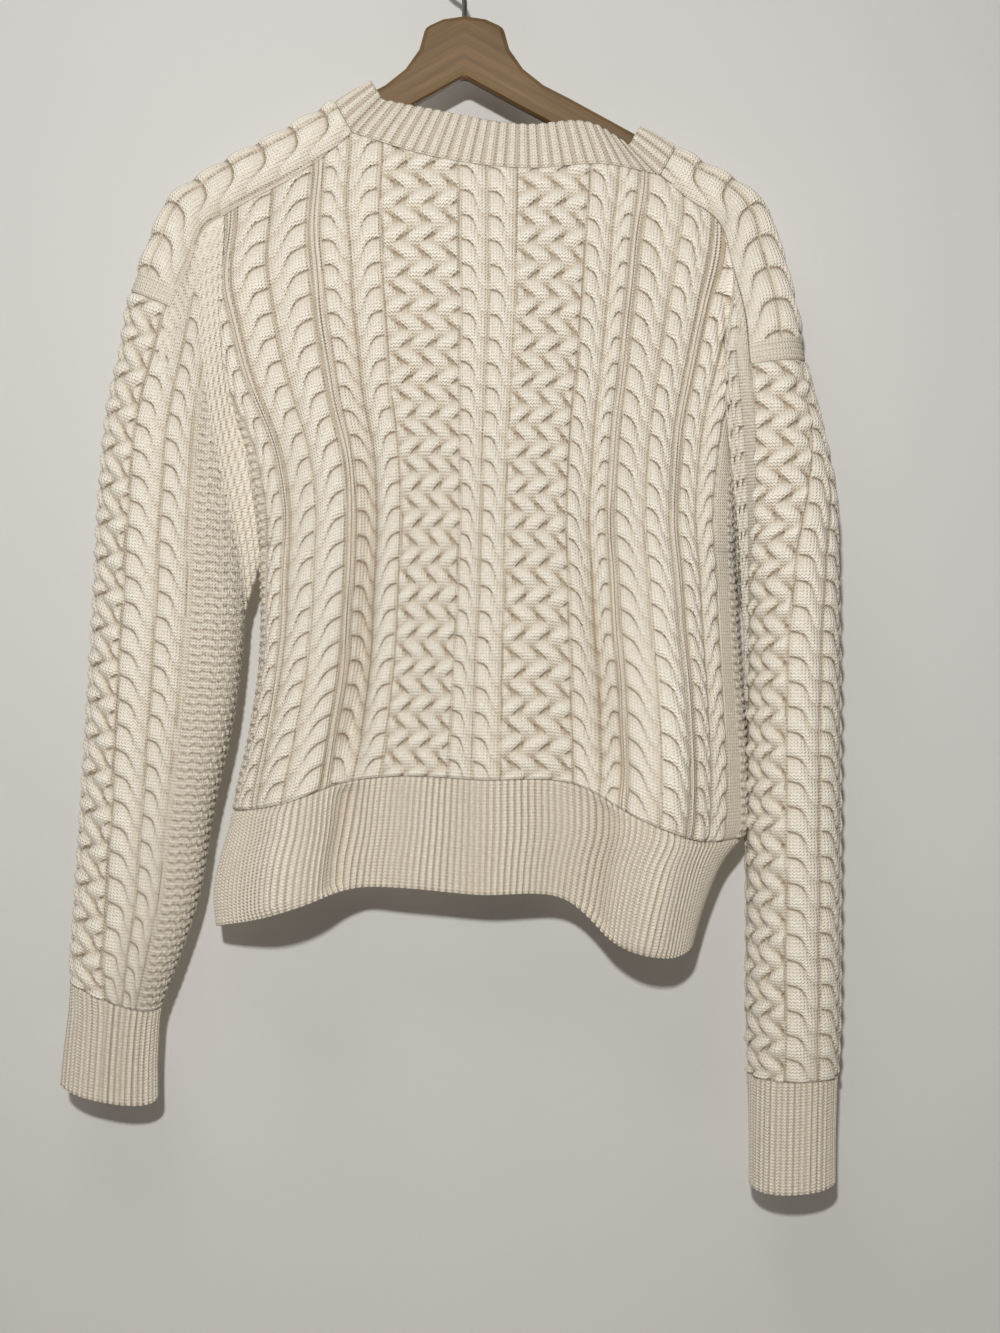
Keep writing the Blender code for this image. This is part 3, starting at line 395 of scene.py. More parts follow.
def along(points, at):
    """Points of a line at given lengths."""
    line = lengths(points)
    return np.stack([np.interp(at, line, c) for c in np.asarray(points).T], axis=-1)


def smooth_line(points, count):
    """A smooth line through the points, as evenly spaced points."""
    points = np.array(points)
    knots = lengths(points)
    fine = smooth(np.linspace(0, knots[-1], 40 * len(points)), knots, points)
    return along(fine, np.linspace(0, lengths(fine)[-1], count))


def fade(t):
    """1 at 0, falling smoothly to 0 at 1 and staying there."""
    t = np.clip(t, 0, 1)
    return (1 - t) ** 2 * (1 + 2 * t)


def weights(t):
    """Catmull-Rom weights of the four neighbours of a place t between the middle two."""
    return (
        -0.5 * t**3 + t**2 - 0.5 * t,
        1.5 * t**3 - 2.5 * t**2 + 1,
        -1.5 * t**3 + 2 * t**2 + 0.5 * t,
        0.5 * t**3 - 0.5 * t**2,
    )


class Form:
    """A surface kept as sections: x and y for even steps of drop and of share, from -1 to 1 across it."""

    def __init__(self, section, top, bottom):
        self.top, self.bottom = top, bottom
        shares = np.linspace(-1, 1, FORM_PLACES)
        self.table = np.array([section(d, shares) for d in np.linspace(top, bottom, FORM_ROWS)])

    def at(self, share, drop):
        row = (np.clip(drop, self.top, self.bottom) - self.top) / (self.bottom - self.top)
        row = row * (FORM_ROWS - 1)
        place = (np.clip(share, -1, 1) + 1) / 2 * (FORM_PLACES - 1)
        r, p = np.floor(row).astype(int), np.floor(place).astype(int)
        total = 0
        for i, a in zip(range(-1, 3), weights(row - r)):
            for j, b in zip(range(-1, 3), weights(place - p)):
                near = self.table[np.clip(r + i, 0, FORM_ROWS - 1), np.clip(p + j, 0, FORM_PLACES - 1)]
                total = total + (a * b)[..., None] * near
        return total


# ---- the garment's form, as in the CAD


def armhole_gap(side, drop):
    """Half the distance between the front and back edges of an armhole, and 0 below it."""
    underarm, half = ARMHOLE[side]
    t = np.clip((drop - BODY_TOP) / (underarm - BODY_TOP), 0, 1)
    return half * (1 - t**6) ** 0.5


def body_section(side, drop, shares):
    """x and y across the back or the front at one drop; -1 and 1 are its edges and 0 its middle line."""
    row = columns_at(BODY_COLUMNS, BODY, drop)
    t = np.sin(np.linspace(-math.pi / 2, math.pi / 2, SECTION_POINTS))
    x = row["left"] + (row["right"] - row["left"]) * (t + 1) / 2
    edge = row["seam_left"] + (row["seam_right"] - row["seam_left"]) * (t + 1) / 2
    hump = np.maximum(1 - abs(t) ** row["power"], 0) ** (1 / row["power"])
    y = edge + (row[side] - edge) * hump
    for which, start, top_x, hem_x, width, depth in FOLDS:
        if which == side:
            grown = np.clip((drop - start) / FOLD_LENGTH, 0, 1)
            crest = top_x + (hem_x - top_x) * grown
            y = y + depth * (1 - fade(grown)) ** 0.8 * np.exp(-(((x - crest) / width) ** 2)) * hump
    points = np.stack([x, y], axis=1)
    line = lengths(points)
    middle = np.interp(row["centre"], x, line)
    wanted = np.where(shares < 0, middle * (1 + shares), middle + shares * (line[-1] - middle))
    return along(points, wanted)


def narrowed(place, edge):
    """Where a place across the full cut lies when the armhole has narrowed the cloth to edge."""
    size = abs(place)
    outer = CUT_FIXED + (size - CUT_FIXED) * (edge - CUT_FIXED) / (CUT_HALF - CUT_FIXED)
    return np.sign(place) * np.where(size < CUT_FIXED, size, outer)


def superellipse(wide, deep, power, points=SECTION_POINTS):
    """Outward and backward reach round a tube, from its far front round its outer side to its far back."""
    angle = np.linspace(-math.pi, math.pi, points)
    c, s = np.cos(angle), np.sin(angle)
    out = wide * np.sign(c) * abs(c) ** (2 / power)
    back = deep * np.sign(s) * abs(s) ** (2 / power)
    return np.stack([out, back], axis=1)


def strap_line(side):
    """Length along the strap's outer line from the neck seam, for each row of its table."""
    rows = np.array(STRAP[side])
    line = lengths(rows[:, :2])
    return line - line[1], rows


def strap_points(side, at, across):
    """Outer points of a strap at a length from its neck seam; across is -1 at its back edge, 1 in front."""
    line, rows = strap_line(side)
    x, drop, lean, high, deep, power, half, turn = smooth(at, line, rows)
    ring = superellipse(high, deep, power)
    from_outer = lengths(ring) - lengths(ring)[SECTION_POINTS // 2]
    wanted = turn - np.asarray(across) * half
    out, back = (np.interp(wanted, from_outer, c) for c in ring.T)
    lean = math.radians(lean)
    reach = out - high
    px = x + OUTWARD_X[side] * math.sin(lean) * reach
    pz = -drop + math.cos(lean) * reach
    return np.stack([px, -back, pz], axis=1)


def squeezed(size, fixed, room, cut):
    """A place on the cut cloth, where the part past the fixed width gives way to fill the room."""
    fixed = min(fixed, 0.45 * room)
    return np.where(size < fixed, size, fixed + (size - fixed) * (room - fixed) / (cut - fixed))


def sleeve_section(side, drop, shares):
    """x and y round a sleeve at one drop: 0 is its middle line, 1 and -1 its seam by the back and front."""
    row = columns_at(SLEEVE_COLUMNS, SLEEVE[side], drop)
    ring = superellipse(row["wide"], row["deep"], row["power"])
    ring = np.concatenate([ring[:-1], ring])
    line = lengths(ring)
    girth = line[-1] / 2
    back = row["under"] * girth - row["turn"]
    size = abs(shares) * SLEEVE_HALF
    by_back = row["turn"] + squeezed(size, SLEEVE_FIXED, back, SLEEVE_HALF)
    by_front = row["turn"] - squeezed(size, SLEEVE_FIXED, girth - back, SLEEVE_HALF)
    wanted = np.where(shares > 0, by_back, by_front)
    at = along(ring, (wanted + girth / 2) % girth)
    return np.stack([row["x"] + OUTWARD_X[side] * at[:, 0], row["y"] - at[:, 1]], axis=1)


def slanted(plane, points):
    """The drops of a cuff's seam or edge at points round the sleeve."""
    x, drop, by_x, by_y = plane
    return drop + by_x * (points[:, 0] - x) - by_y * points[:, 1]


def sleeve_normals(form, share, drops, side):
    """Outward normals of a sleeve's form, which stay true where columns run close along a seam."""
    around = form.at(share + SHARE_STEP, drops) - form.at(share - SHARE_STEP, drops)
    down = form.at(share, drops + DROP_STEP) - form.at(share, drops - DROP_STEP)
    level, fall = np.zeros_like(drops), np.full_like(drops, -2 * DROP_STEP)
    out = np.cross(np.dstack([around, level]), np.dstack([down, fall])) * OUTWARD_X[side]
    return out / np.linalg.norm(out, axis=2)[..., None]


# ---- fine grids of every piece


class Cloth:
    """A piece's fine outer grid, its outward normals, its place in the knit, and how far its edges are."""

    def __init__(self, points, out, across, up, edge, ring=False):
        self.points, self.out, self.ring = points, out, ring
        self.across, self.up, self.edge = across, up, edge
        self.sunk = self.relief = np.zeros_like(across)


def grid_normals(points, flip, ring=False):
    """Outward normals of a fine grid, from its neighbours down and across."""
    down = np.gradient(points, axis=0)
    if ring:
        across = np.roll(points, -1, axis=1) - np.roll(points, 1, axis=1)
    else:
        across = np.gradient(points, axis=1)
    found = np.cross(down, across) * (-1 if flip else 1)
    return found / np.linalg.norm(found, axis=2)[..., None]


def strap_piece(side):
    """A strap from its neck seam to its end, with the back edge in its first column."""
    end = strap_line(side)[0][-1]
    rows, columns = STRAP_GRID
    stations = np.linspace(SEAM / 2, end - SEAM / 2, rows + 1)
    across = np.linspace(-1, 1, columns + 1)
    half = np.array([smooth(at, strap_line(side)[0], strap_line(side)[1][:, 6]) for at in stations])
    points = np.array([strap_points(side, at, across * (1 - SEAM / 2 / h)) for at, h in zip(stations, half)])
    place = across * half[:, None]
    along_it = np.broadcast_to(stations[:, None], place.shape)
    edge = np.minimum(half[:, None] - abs(place), np.minimum(along_it, end - along_it))
    out = grid_normals(points, side == "left")
    return Cloth(points, out, place, end - along_it, edge)


def neck_line(places, which, at):
    """The neck's back or front line from the left strap to the right one, as a fine line."""
    end = -1 if which == "back" else 1
    left, right = (strap_points(side, at, np.array([end]))[0] for side in ("left", "right"))
    middle = [(x, y, -drop) for x, y, drop in places[which]]
    return smooth_line([left, *middle, right], NECK_LINE)


def neck_ring(places, at, columns):
    """The closed neckline and the length at each of its points.

    It runs along the back from left to right, over the right arm, back along the front and over the left arm.
    """
    back, front = (neck_line(places, which, at) for which in ("back", "front"))
    over = np.linspace(-1, 1, STRAP_LINE)
    right, left = (strap_points(side, at, over) for side in ("right", "left"))
    ring = np.concatenate([back[:-1], right[:-1], front[::-1][:-1], left[::-1]])
    right_arm = len(back) - 1
    front_right = right_arm + STRAP_LINE - 1
    corners = [0, right_arm, front_right, front_right + len(front) - 1, len(ring) - 1]
    line = lengths(ring)
    wanted = np.interp(np.arange(columns) / columns, NECK_SHARES, line[corners])
    return along(ring, wanted), wanted


def neckband_piece():
    rows, columns = BAND_GRID
    seam, place = neck_ring(NECK_SEAM, 0.0, columns)
    edge, _ = neck_ring(NECK_EDGE, strap_line("left")[0][0], columns)
    ring_out = np.cross(np.roll(seam, -1, axis=0) - np.roll(seam, 1, axis=0), edge - seam)
    ring_out /= np.linalg.norm(ring_out, axis=1)[:, None]
    t = np.linspace(0, 1, rows + 1)[:, None]
    tall = np.linalg.norm(seam - edge, axis=1)
    t = t * (1 - SEAM / 2 / tall.mean())
    points = edge + (seam - edge) * t[..., None] + ring_out * BAND_CROWN * (4 * t * (1 - t))[..., None]
    up = (1 - t) * tall
    edge_far = np.minimum(up, t * tall + HEM_REST)
    out = grid_normals(points, False, True)
    return Cloth(points, out, np.broadcast_to(place, up.shape), up, edge_far, True)


def body_columns(side):
    """The top edge of a panel as evenly cut columns: its points, place and the corner's place."""
    end = -1 if side == "back" else 1
    stations = np.linspace(0, STRAP_CORNER, STRAP_LINE)
    left, right = (
        np.array([strap_points(arm, at, np.array([end]))[0] for at in stations]) for arm in ("left", "right")
    )
    top = np.concatenate([left[::-1][:-1], neck_line(NECK_SEAM, side, 0.0), right[1:]])
    across = top[:, 0] - BODY[0][3]
    corner = np.where(across < 0, abs(across[0]), abs(across[-1]))
    size = abs(across)
    outer = CUT_FIXED + (size - CUT_FIXED) * (CUT_HALF - CUT_FIXED) / (corner - CUT_FIXED)
    return top, np.sign(across) * np.where(size < CUT_FIXED, size, outer), corner


def panel_form(side, share, drops):
    """x and y on the form of the back or the front, let out along the armholes by half their gap."""
    flat = FORMS[side].at(share, drops)
    out = -1 if side == "back" else 1
    for edge, sign in (("left", 1), ("right", -1)):
        flat[..., 1] += out * armhole_gap(edge, drops) * fade((1 + sign * share) / GAP_REACH)
    return flat


def body_surface(side, place, depth):
    """Points at places across the cut cloth, as deep as a share of the way from the top to the rib seam.

    From 1 to 2 the share goes on from the rib seam to the hem's edge.
    """
    line, line_place, line_corner = body_columns(side)
    top = np.stack([np.interp(place, line_place, c) for c in line.T], axis=-1)
    corner = np.where(place < 0, line_corner[0], line_corner[-1])
    rib = columns_at(RIB_COLUMNS, RIB, place)
    seam, hem = rib[side + "_rib"], rib[side + "_edge"]
    armpit = np.interp(place, [-CUT_HALF, CUT_HALF], [ARMHOLE["left"][0], ARMHOLE["right"][0]])
    start = -top[:, 2]
    drops = np.where(depth < 1, start + (seam - start) * depth, seam + (hem - seam) * (depth - 1))
    width = corner + (CUT_HALF - corner) * (1 - fade((drops - start) / (armpit - start)))
    share = narrowed(place, width) / width
    flat = panel_form(side, share, drops)
    move = top[:, :2] - panel_form(side, share[0], start)
    flat = flat + move * fade((drops - start) / SHOULDER_FADE)[..., None]
    points = np.concatenate([flat, -drops[..., None]], axis=2)
    return points, share * width, width, drops, start, seam, hem


def side_to_side(columns):
    """Places across the cut of a panel or hem, short of its seams."""
    return np.linspace(-CUT_HALF, CUT_HALF, columns + 1) * (1 - SEAM / 2 / CUT_HALF)


def down_to_seam(rows):
    """Depths from a panel's or sleeve's upper edge to its rib seam, short of both."""
    return np.linspace(0, 1, rows + 1)[:, None] * (1 - SEAM / PANEL_LENGTH) + SEAM / 2 / PANEL_LENGTH


def seam_to_edge(rows):
    """Depths from the rib seam, short of it, to the free edge of a hem or cuff."""
    start = SEAM / 2 / RIB_LENGTH
    return 1 + start + np.linspace(0, 1, rows + 1)[:, None] * (1 - start)


def panel_piece(side):
    rows, columns = PANEL_GRID[side]
    place = side_to_side(columns)
    depth = down_to_seam(rows)
    points, across, width, drops, start, seam, _ = body_surface(side, place, depth)
    up = seam - drops
    edge = np.minimum(np.minimum(up, drops - start), width - abs(across))
    return Cloth(points, grid_normals(points, side == "front"), across, up, edge)


def hem_piece(side):
    rows, columns = HEM_GRID
    place = side_to_side(columns)
    depth = seam_to_edge(rows)
    points, across, width, drops, _, seam, hem = body_surface(side, place, depth)
    edge = np.minimum(drops - seam, np.minimum(hem - drops + HEM_REST, width - abs(across)))
    return Cloth(points, grid_normals(points, side == "front"), across, hem - drops, edge)


def sleeve_head(side):
    """The sleeve's upper edge and the share of the cut at each of its points."""
    end = strap_line(side)[0][-1]
    half_strap = STRAP[side][-1][6] / SLEEVE_HALF
    stations = np.linspace(STRAP_CORNER, end, STRAP_LINE)
    back, front = (
        np.array([strap_points(side, at, np.array([edge]))[0] for at in stations]) for edge in (-1, 1)
    )
    hole = {}
    for which in ("back", "front"):
        place = np.array([CUT_HALF if side == "right" else -CUT_HALF])
        found = body_surface(which, place, np.linspace(0, 1, PANEL_LINE)[:, None])[0][:, 0]
        keep = -found[:, 2] <= ARMHOLE[side][0]
        hole[which] = found[keep]
    under = (hole["back"][-1] + hole["front"][-1]) / 2
    rise = np.concatenate([[under], hole["back"][::-1], back[1:]])
    fall = np.concatenate([front[::-1][:-1], hole["front"], [under]])
    cap = strap_points(side, end, np.linspace(-1, 1, STRAP_LINE))
    up, down = lengths(rise), lengths(fall)
    share = np.concatenate([
        1 + (half_strap - 1) * up / up[-1],
        np.linspace(half_strap, -half_strap, STRAP_LINE)[1:-1],
        -half_strap - (1 - half_strap) * down / down[-1],
    ])
    return np.concatenate([rise, cap[1:-1], fall]), share


def sleeve_surface(side, share, depth):
    """Points round the sleeve, from its head at 0 to the cuff seam at 1 and the cuff's edge at 2."""
    line, line_share = sleeve_head(side)
    loop = np.stack([np.interp(-share, -line_share, c) for c in line.T], axis=-1)
    form = FORMS[side]
    start = -loop[:, 2]
    seam_plane, edge_plane = CUFF[side]
    seam = slanted(seam_plane, form.at(share, np.full(len(share), seam_plane[1])))
    edge = slanted(edge_plane, form.at(share, np.full(len(share), edge_plane[1])))
    drops = np.where(depth < 1, start + (seam - start) * depth, seam + (edge - seam) * (depth - 1))
    wide_share = np.broadcast_to(share, drops.shape)
    flat = form.at(wide_share, drops)
    move = loop[:, :2] - form.at(share, start)
    flat = flat + move * fade((drops - start) / SLEEVE_FADE)[..., None]
    points = np.concatenate([flat, -drops[..., None]], axis=2)
    return points, sleeve_normals(form, wide_share, drops, side), drops, start, seam, edge


def sleeve_piece(side):
    rows, columns = SLEEVE_GRID
    share = 1 - 2 * np.arange(columns) / columns
    depth = down_to_seam(rows)
    points, out, drops, start, seam, _ = sleeve_surface(side, share, depth)
    up = seam - drops
    across = np.broadcast_to(share * SLEEVE_HALF, up.shape)
    edge = np.minimum(up, drops - start)
    return Cloth(points, out, across, up, edge, True)


def cuff_piece(side):
    rows, columns = CUFF_GRID
    share = 1 - 2 * np.arange(columns) / columns
    depth = seam_to_edge(rows)
    points, out, drops, _, seam, end = sleeve_surface(side, share, depth)
    line = np.roll(points[0], -1, axis=0) - points[0]
    place = np.concatenate([[0], np.cumsum(np.linalg.norm(line, axis=1))])
    across = np.broadcast_to(place[:-1], drops.shape)
    across = across * (round(place[-1] / CUFF_PITCH) * CUFF_PITCH / place[-1])
    edge = np.minimum(drops - seam, end - drops + HEM_REST)
    return Cloth(points, out, across, end - drops, edge, True)


# ---- the knit's relief


def rope(u, up, hand, period):
    """Lobes that overlap up a rope: u runs from -1 to 1 across it. Also how far up the lobes a place is."""
    s = u * hand
    lobe = up / period - ROPE_CLIMB / (1 + np.exp((ROPE_TURN - s) / ROPE_BEND)) - ROPE_DRIFT * s
    t = lobe - np.floor(lobe)
    swell = np.sin(math.pi * t**LOBE_SKEW) ** LOBE_ROUND * (1 - LOBE_TILT + LOBE_TILT * s)
    round_ = (1 - abs(u) ** ROPE_SQUARE) ** 0.5
    return ROPE_HEIGHT * round_ * (ROPE_FLOOR + (1 - ROPE_FLOOR) * swell), lobe


def lattice(across, up):
    """Strands that run both ways and go over and under each other, steepest between the crossings."""
    over = np.cos(math.pi * up / LATTICE_RISE)
    turn = 2 * math.pi * up / LATTICE_RISE
    climb = up / (2 * LATTICE_RISE) + LATTICE_SWING * np.sin(turn) / (4 * math.pi)
    slope = LATTICE_STEP / (2 * LATTICE_RISE) * (1 + LATTICE_SWING * np.cos(turn))
    height = np.zeros_like(across)
    for lean, lift in ((-1, over), (1, -RISING_LIFT * over)):
        turns = across / LATTICE_STEP + lean * climb
        away = (turns - np.round(turns)) * LATTICE_STEP / (1 + slope**2) ** 0.5
        round_ = np.clip(1 - (away / STRAND_HALF) ** 2, 0, 1) ** STRAND_ROUND
        height = np.maximum(height, round_ * (STRAND_REST + (1 - STRAND_REST) * lift))
    return LATTICE_HEIGHT * height


def ridge(v):
    """Wales side by side, standing on the purl; v runs from -1 to 1 across them."""
    return RIDGE_HEIGHT * (1 - abs(v) ** 4) ** 0.5


def garter(across, up):
    """Short wavy ridges that run across the cloth, and the row that each place is in."""
    waves = sum(high * np.sin(2 * math.pi * across / long) for high, long in GARTER_WAVES)
    row = (up + waves) / GARTER_PITCH
    bump = np.sin(2 * math.pi * across / GARTER_BUMP + math.pi * np.floor(row))
    ridge_ = abs(np.sin(math.pi * row)) ** GARTER_ROUND * (1 - GARTER_UNEVEN + GARTER_UNEVEN * bump)
    return GARTER_BASE + GARTER_HEIGHT * ridge_, row


def rib(across, pitch):
    """Knit wales with purl furrows between them."""
    return RIB_BASE + RIB_HEIGHT * (0.5 + 0.5 * np.cos(2 * math.pi * across / pitch)) ** RIB_ROUND


def knit(bands, across, up):
    """The relief of a table of bands and the weave: two numbers that place a point in its band, and the kind.

    They are the lobe and the place across a rope, the places across and up a lattice, the wale of a ridge, and
    the row and the place across garter.
    """
    across = across + sum(size * np.sin(up * by_up + across * by_across) for size, by_up, by_across in SWAY)
    size, by_up, by_across = SWAY_UP
    up = up + size * np.sin(up * by_up + across * by_across)
    height = np.zeros_like(across)
    weave = np.zeros((*across.shape, 3))
    for start, end, kind, hand in bands:
        here = (across >= start) & (across < end)
        place, rise = across[here], up[here]
        middle = (start + end) / 2
        if kind in PERIODS:
            u = (place - middle) / ((end - start) / 2)
            rise = rise + ROPE_SHIFT * math.sin(start * ROPE_SPREAD)
            height[here], lobe = rope(u, rise, hand, PERIODS[kind])
            weave[here] = np.stack([lobe, u * hand, np.full_like(u, ROPE_KIND)], axis=-1)
        elif kind == "lattice":
            side = np.clip((0.5 * (end - start) - abs(place - middle)) / LATTICE_SIDE, 0, 1)
            height[here] = lattice(place - middle, rise) * side**0.5
            weave[here] = np.stack([place - middle, rise, np.full_like(rise, LATTICE_KIND)], axis=-1)
        elif kind == "ridge":
            height[here] = ridge((place - middle) / ((end - start) / 2))
            wales = (place - start) / ((end - start) / max(round((end - start) / WALE), 1))
            weave[here] = np.stack([wales, np.zeros_like(wales), np.full_like(wales, RIDGE_KIND)], axis=-1)
        elif kind == "garter":
            height[here], row = garter(place, rise)
            weave[here] = np.stack([row, place, np.full_like(row, GARTER_KIND)], axis=-1)
        else:
            height[here] = PLAIN_HEIGHT
    return height, weave


def settled(piece, height, ramp=SEAM_RAMP):
    """The relief with the purl ground sunk under it, let down to nothing at the piece's edges."""
    ease = np.clip(piece.edge / ramp, 0, 1)
    piece.relief = height - GROUND
    return piece.relief * (ease * (2 - ease))


def crease(piece, table, ramp=CREASE_RAMP):
    """Soft folds: place across and up, how long and wide, how deep, and how far they lean."""
    moved = np.zeros_like(piece.across)
    for across, up, long, wide, deep, lean in table:
        rise = piece.up - up
        off = piece.across - across - lean * rise
        moved += deep * np.exp(-((off / wide) ** 2) - (rise / long) ** 2)
    piece.sunk = moved * np.clip(piece.edge / ramp, 0, 1)
    piece.points = piece.points + piece.out * piece.sunk[..., None]


# ---- meshes


def build(name, piece, height, weave, coarse=4):
    """A closed shell: the fine outer side with its relief, and a plain inner side of coarse cells."""
    rows, columns = piece.points.shape[:2]
    spans = columns if piece.ring else columns - 1
    outer = piece.points + piece.out * height[..., None]
    inner = piece.points - piece.out * CLOTH
    number = np.arange(rows * columns).reshape(rows, columns)
    keep = np.zeros((rows, columns), bool)
    keep[::coarse, ::coarse] = True
    keep[[0, -1]] = True
    if not piece.ring:
        keep[:, [0, -1]] = True
    inside = np.full((rows, columns), -1)
    inside[keep] = rows * columns + np.arange(keep.sum())
    vertices = np.concatenate([outer.reshape(-1, 3), inner[keep]])
    a, b = number[:-1, :spans], np.roll(number, -1, axis=1)[:-1, :spans]
    c, d = np.roll(number, -1, axis=1)[1:, :spans], number[1:, :spans]
    faces = np.stack([a, d, c, b], axis=-1).reshape(-1, 4).tolist()
    for r in range(0, rows - 1, coarse):
        for q in range(0, spans, coarse):
            top = [(r, k) for k in range(q, q + coarse + 1)]
            side = [(k, q + coarse) for k in range(r, r + coarse + 1)]
            low = [(r + coarse, k) for k in range(q + coarse, q - 1, -1)]
            back = [(k, q) for k in range(r + coarse, r - 1, -1)]
            walk = top[:-1] + side[:-1] + low[:-1] + back[:-1]
            faces.append([inside[i, j % columns] for i, j in walk if inside[i, j % columns] >= 0])
    for row, turn in ((0, 1), (-1, -1)):
        for k in range(spans):
            j = (k + 1) % columns
            strip = [number[row, k], number[row, j], inside[row, j], inside[row, k]]
            faces.append(strip[::turn])
    if not piece.ring:
        for column, turn in ((0, -1), (-1, 1)):
            for k in range(rows - 1):
                strip = [number[k, column], number[k + 1, column], inside[k + 1, column], inside[k, column]]
                faces.append(strip[::turn])
    if piece.flip:
        faces = [face[::-1] for face in faces]
    mesh = bpy.data.meshes.new(name)
    mesh.from_pydata(vertices.tolist(), [], faces)
    mesh.polygons.foreach_set("use_smooth", np.ones(len(faces), bool))
    knit_place = mesh.attributes.new("knit", "FLOAT_VECTOR", "POINT")
    # The third value sets the painted shade in the yarn's tone: low relief and deep creases are painted darker
    depth = piece.relief + SHADE_OF_CREASE * piece.sunk
    fine = np.stack([piece.across, piece.up, depth], axis=-1).reshape(-1, 3)
    rest = np.stack([piece.across, piece.up, np.full_like(height, INSIDE_SHADE_HEIGHT)], axis=-1)[keep]
    knit_place.data.foreach_set("vector", np.concatenate([fine, rest]).ravel())
    knit_kind = mesh.attributes.new("weave", "FLOAT_VECTOR", "POINT")
    fine = np.concatenate([weave.reshape(-1, 3), np.zeros((keep.sum(), 3))])
    knit_kind.data.foreach_set("vector", fine.ravel())
    thing = bpy.data.objects.new(name + "_cloth", mesh)
    bpy.context.scene.collection.objects.link(thing)
    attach(thing, "root")
    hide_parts(name)
    return thing


# ---- materials


class Nodes:
    """Adds and links shader nodes of one material by short names."""

    def __init__(self, name):
        self.material = bpy.data.materials.new(name)
        self.material.use_nodes = True
        self.tree = self.material.node_tree
        self.shader = self.tree.nodes["Principled BSDF"]

    def add(self, kind, **values):
        node = self.tree.nodes.new("ShaderNode" + kind)
        for key, value in values.items():
            setattr(node, key, value)
        return node

    def feed(self, socket, value):
        if isinstance(value, bpy.types.NodeSocket):
            self.tree.links.new(value, socket)
        else:
            socket.default_value = value

    def maths(self, operation, *values):
        node = self.add("Math", operation=operation)
        for socket, value in zip(node.inputs, values):
            self.feed(socket, value)
        return node.outputs[0]

    def split(self, vector):
        node = self.add("SeparateXYZ")
        self.feed(node.inputs[0], vector)
        return node.outputs

    def stretched(self, parts, scales):
        node = self.add("CombineXYZ")
        for socket, part, scale in zip(node.inputs, parts, scales):
            self.feed(socket, self.maths("MULTIPLY", part, scale))
        return node.outputs[0]

    def noise(self, scale, detail, roughness, vector):
        node = self.add("TexNoise")
        for name, value in zip(("Scale", "Detail", "Roughness", "Vector"), (scale, detail, roughness, vector)):
            self.feed(node.inputs[name], value)
        return node.outputs["Fac"]

    def ramp(self, factor, stops):
        node = self.add("ValToRGB")
        self.feed(node.inputs["Fac"], factor)
        while len(node.color_ramp.elements) < len(stops):
            node.color_ramp.elements.new(0.5)
        for element, (place, colour) in zip(node.color_ramp.elements, stops):
            element.position = place
            element.color = (*colour, 1.0)
        return node.outputs["Color"]

    def mix(self, factor, a, b, blend="MIX"):
        node = self.add("Mix", data_type="RGBA", blend_type=blend)
        self.feed(node.inputs["Factor"], factor)
        self.feed(node.inputs[6], a)
        self.feed(node.inputs[7], b)
        return node.outputs[2]

    def bump(self, height, distance, strength, normal=None):
        node = self.add("Bump")
        node.inputs["Strength"].default_value = strength
        node.inputs["Distance"].default_value = distance
        self.feed(node.inputs["Height"], height)
        if normal is not None:
            self.feed(node.inputs["Normal"], normal)
        return node.outputs["Normal"]


def gap(n, value, place, width):
    """1 where the value is at a place, falling to 0 a width away from it."""
    off = n.maths("MULTIPLY", n.maths("SUBTRACT", value, place), 1 / width)
    return n.maths("EXPONENT", n.maths("MULTIPLY", n.maths("MULTIPLY", off, off), -1.0))


def clamped(n, value, low=0.0, high=1.0):
    """The value, held between low and high."""
    return n.maths("MINIMUM", n.maths("MAXIMUM", value, low), high)


def furrow(n, t, width):
    """1 where a fraction is at 0 or 1, falling to 0 a width away from it."""
    return n.maths("MAXIMUM", gap(n, t, 0.0, width), gap(n, t, 1.0, width))


def rope_lines(n, t, second, up):
    """The painted shadow line under each lobe, widest where the strand crosses, and the holes beside the rope,
    painted dark as shade.
    """
    spread = n.maths("MULTIPLY_ADD", gap(n, second, ROPE_TURN, 0.3), 1.4, 1.0)
    under = n.maths("DIVIDE", n.maths("SUBTRACT", 1.0, t), spread)
    line = n.maths("MAXIMUM", gap(n, n.maths("DIVIDE", t, spread), 0.0, 0.02), gap(n, under, 0.0, 0.055))
    line = n.maths("MULTIPLY", line, clamped(n, n.maths("MULTIPLY_ADD", second, 2.2, 0.75), 0.06))
    dots = n.maths("SINE", n.maths("MULTIPLY", up, 2 * math.pi / HOLE_PITCH))
    dots = n.maths("MULTIPLY_ADD", dots, 0.5, 0.5)
    holes = n.maths("MULTIPLY", gap(n, n.maths("ABSOLUTE", second), 1.0, 0.07), dots)
    return n.maths("MAXIMUM", line, holes)


def garter_lines(n, t, second):
    """Painted shade in the furrow between two rows, darker and paler in turn along it."""
    broken = n.maths("SINE", n.maths("MULTIPLY", second, 2 * math.pi / GARTER_BUMP))
    return n.maths("MULTIPLY", furrow(n, t, 0.16), n.maths("MULTIPLY_ADD", broken, 0.18, 0.52))


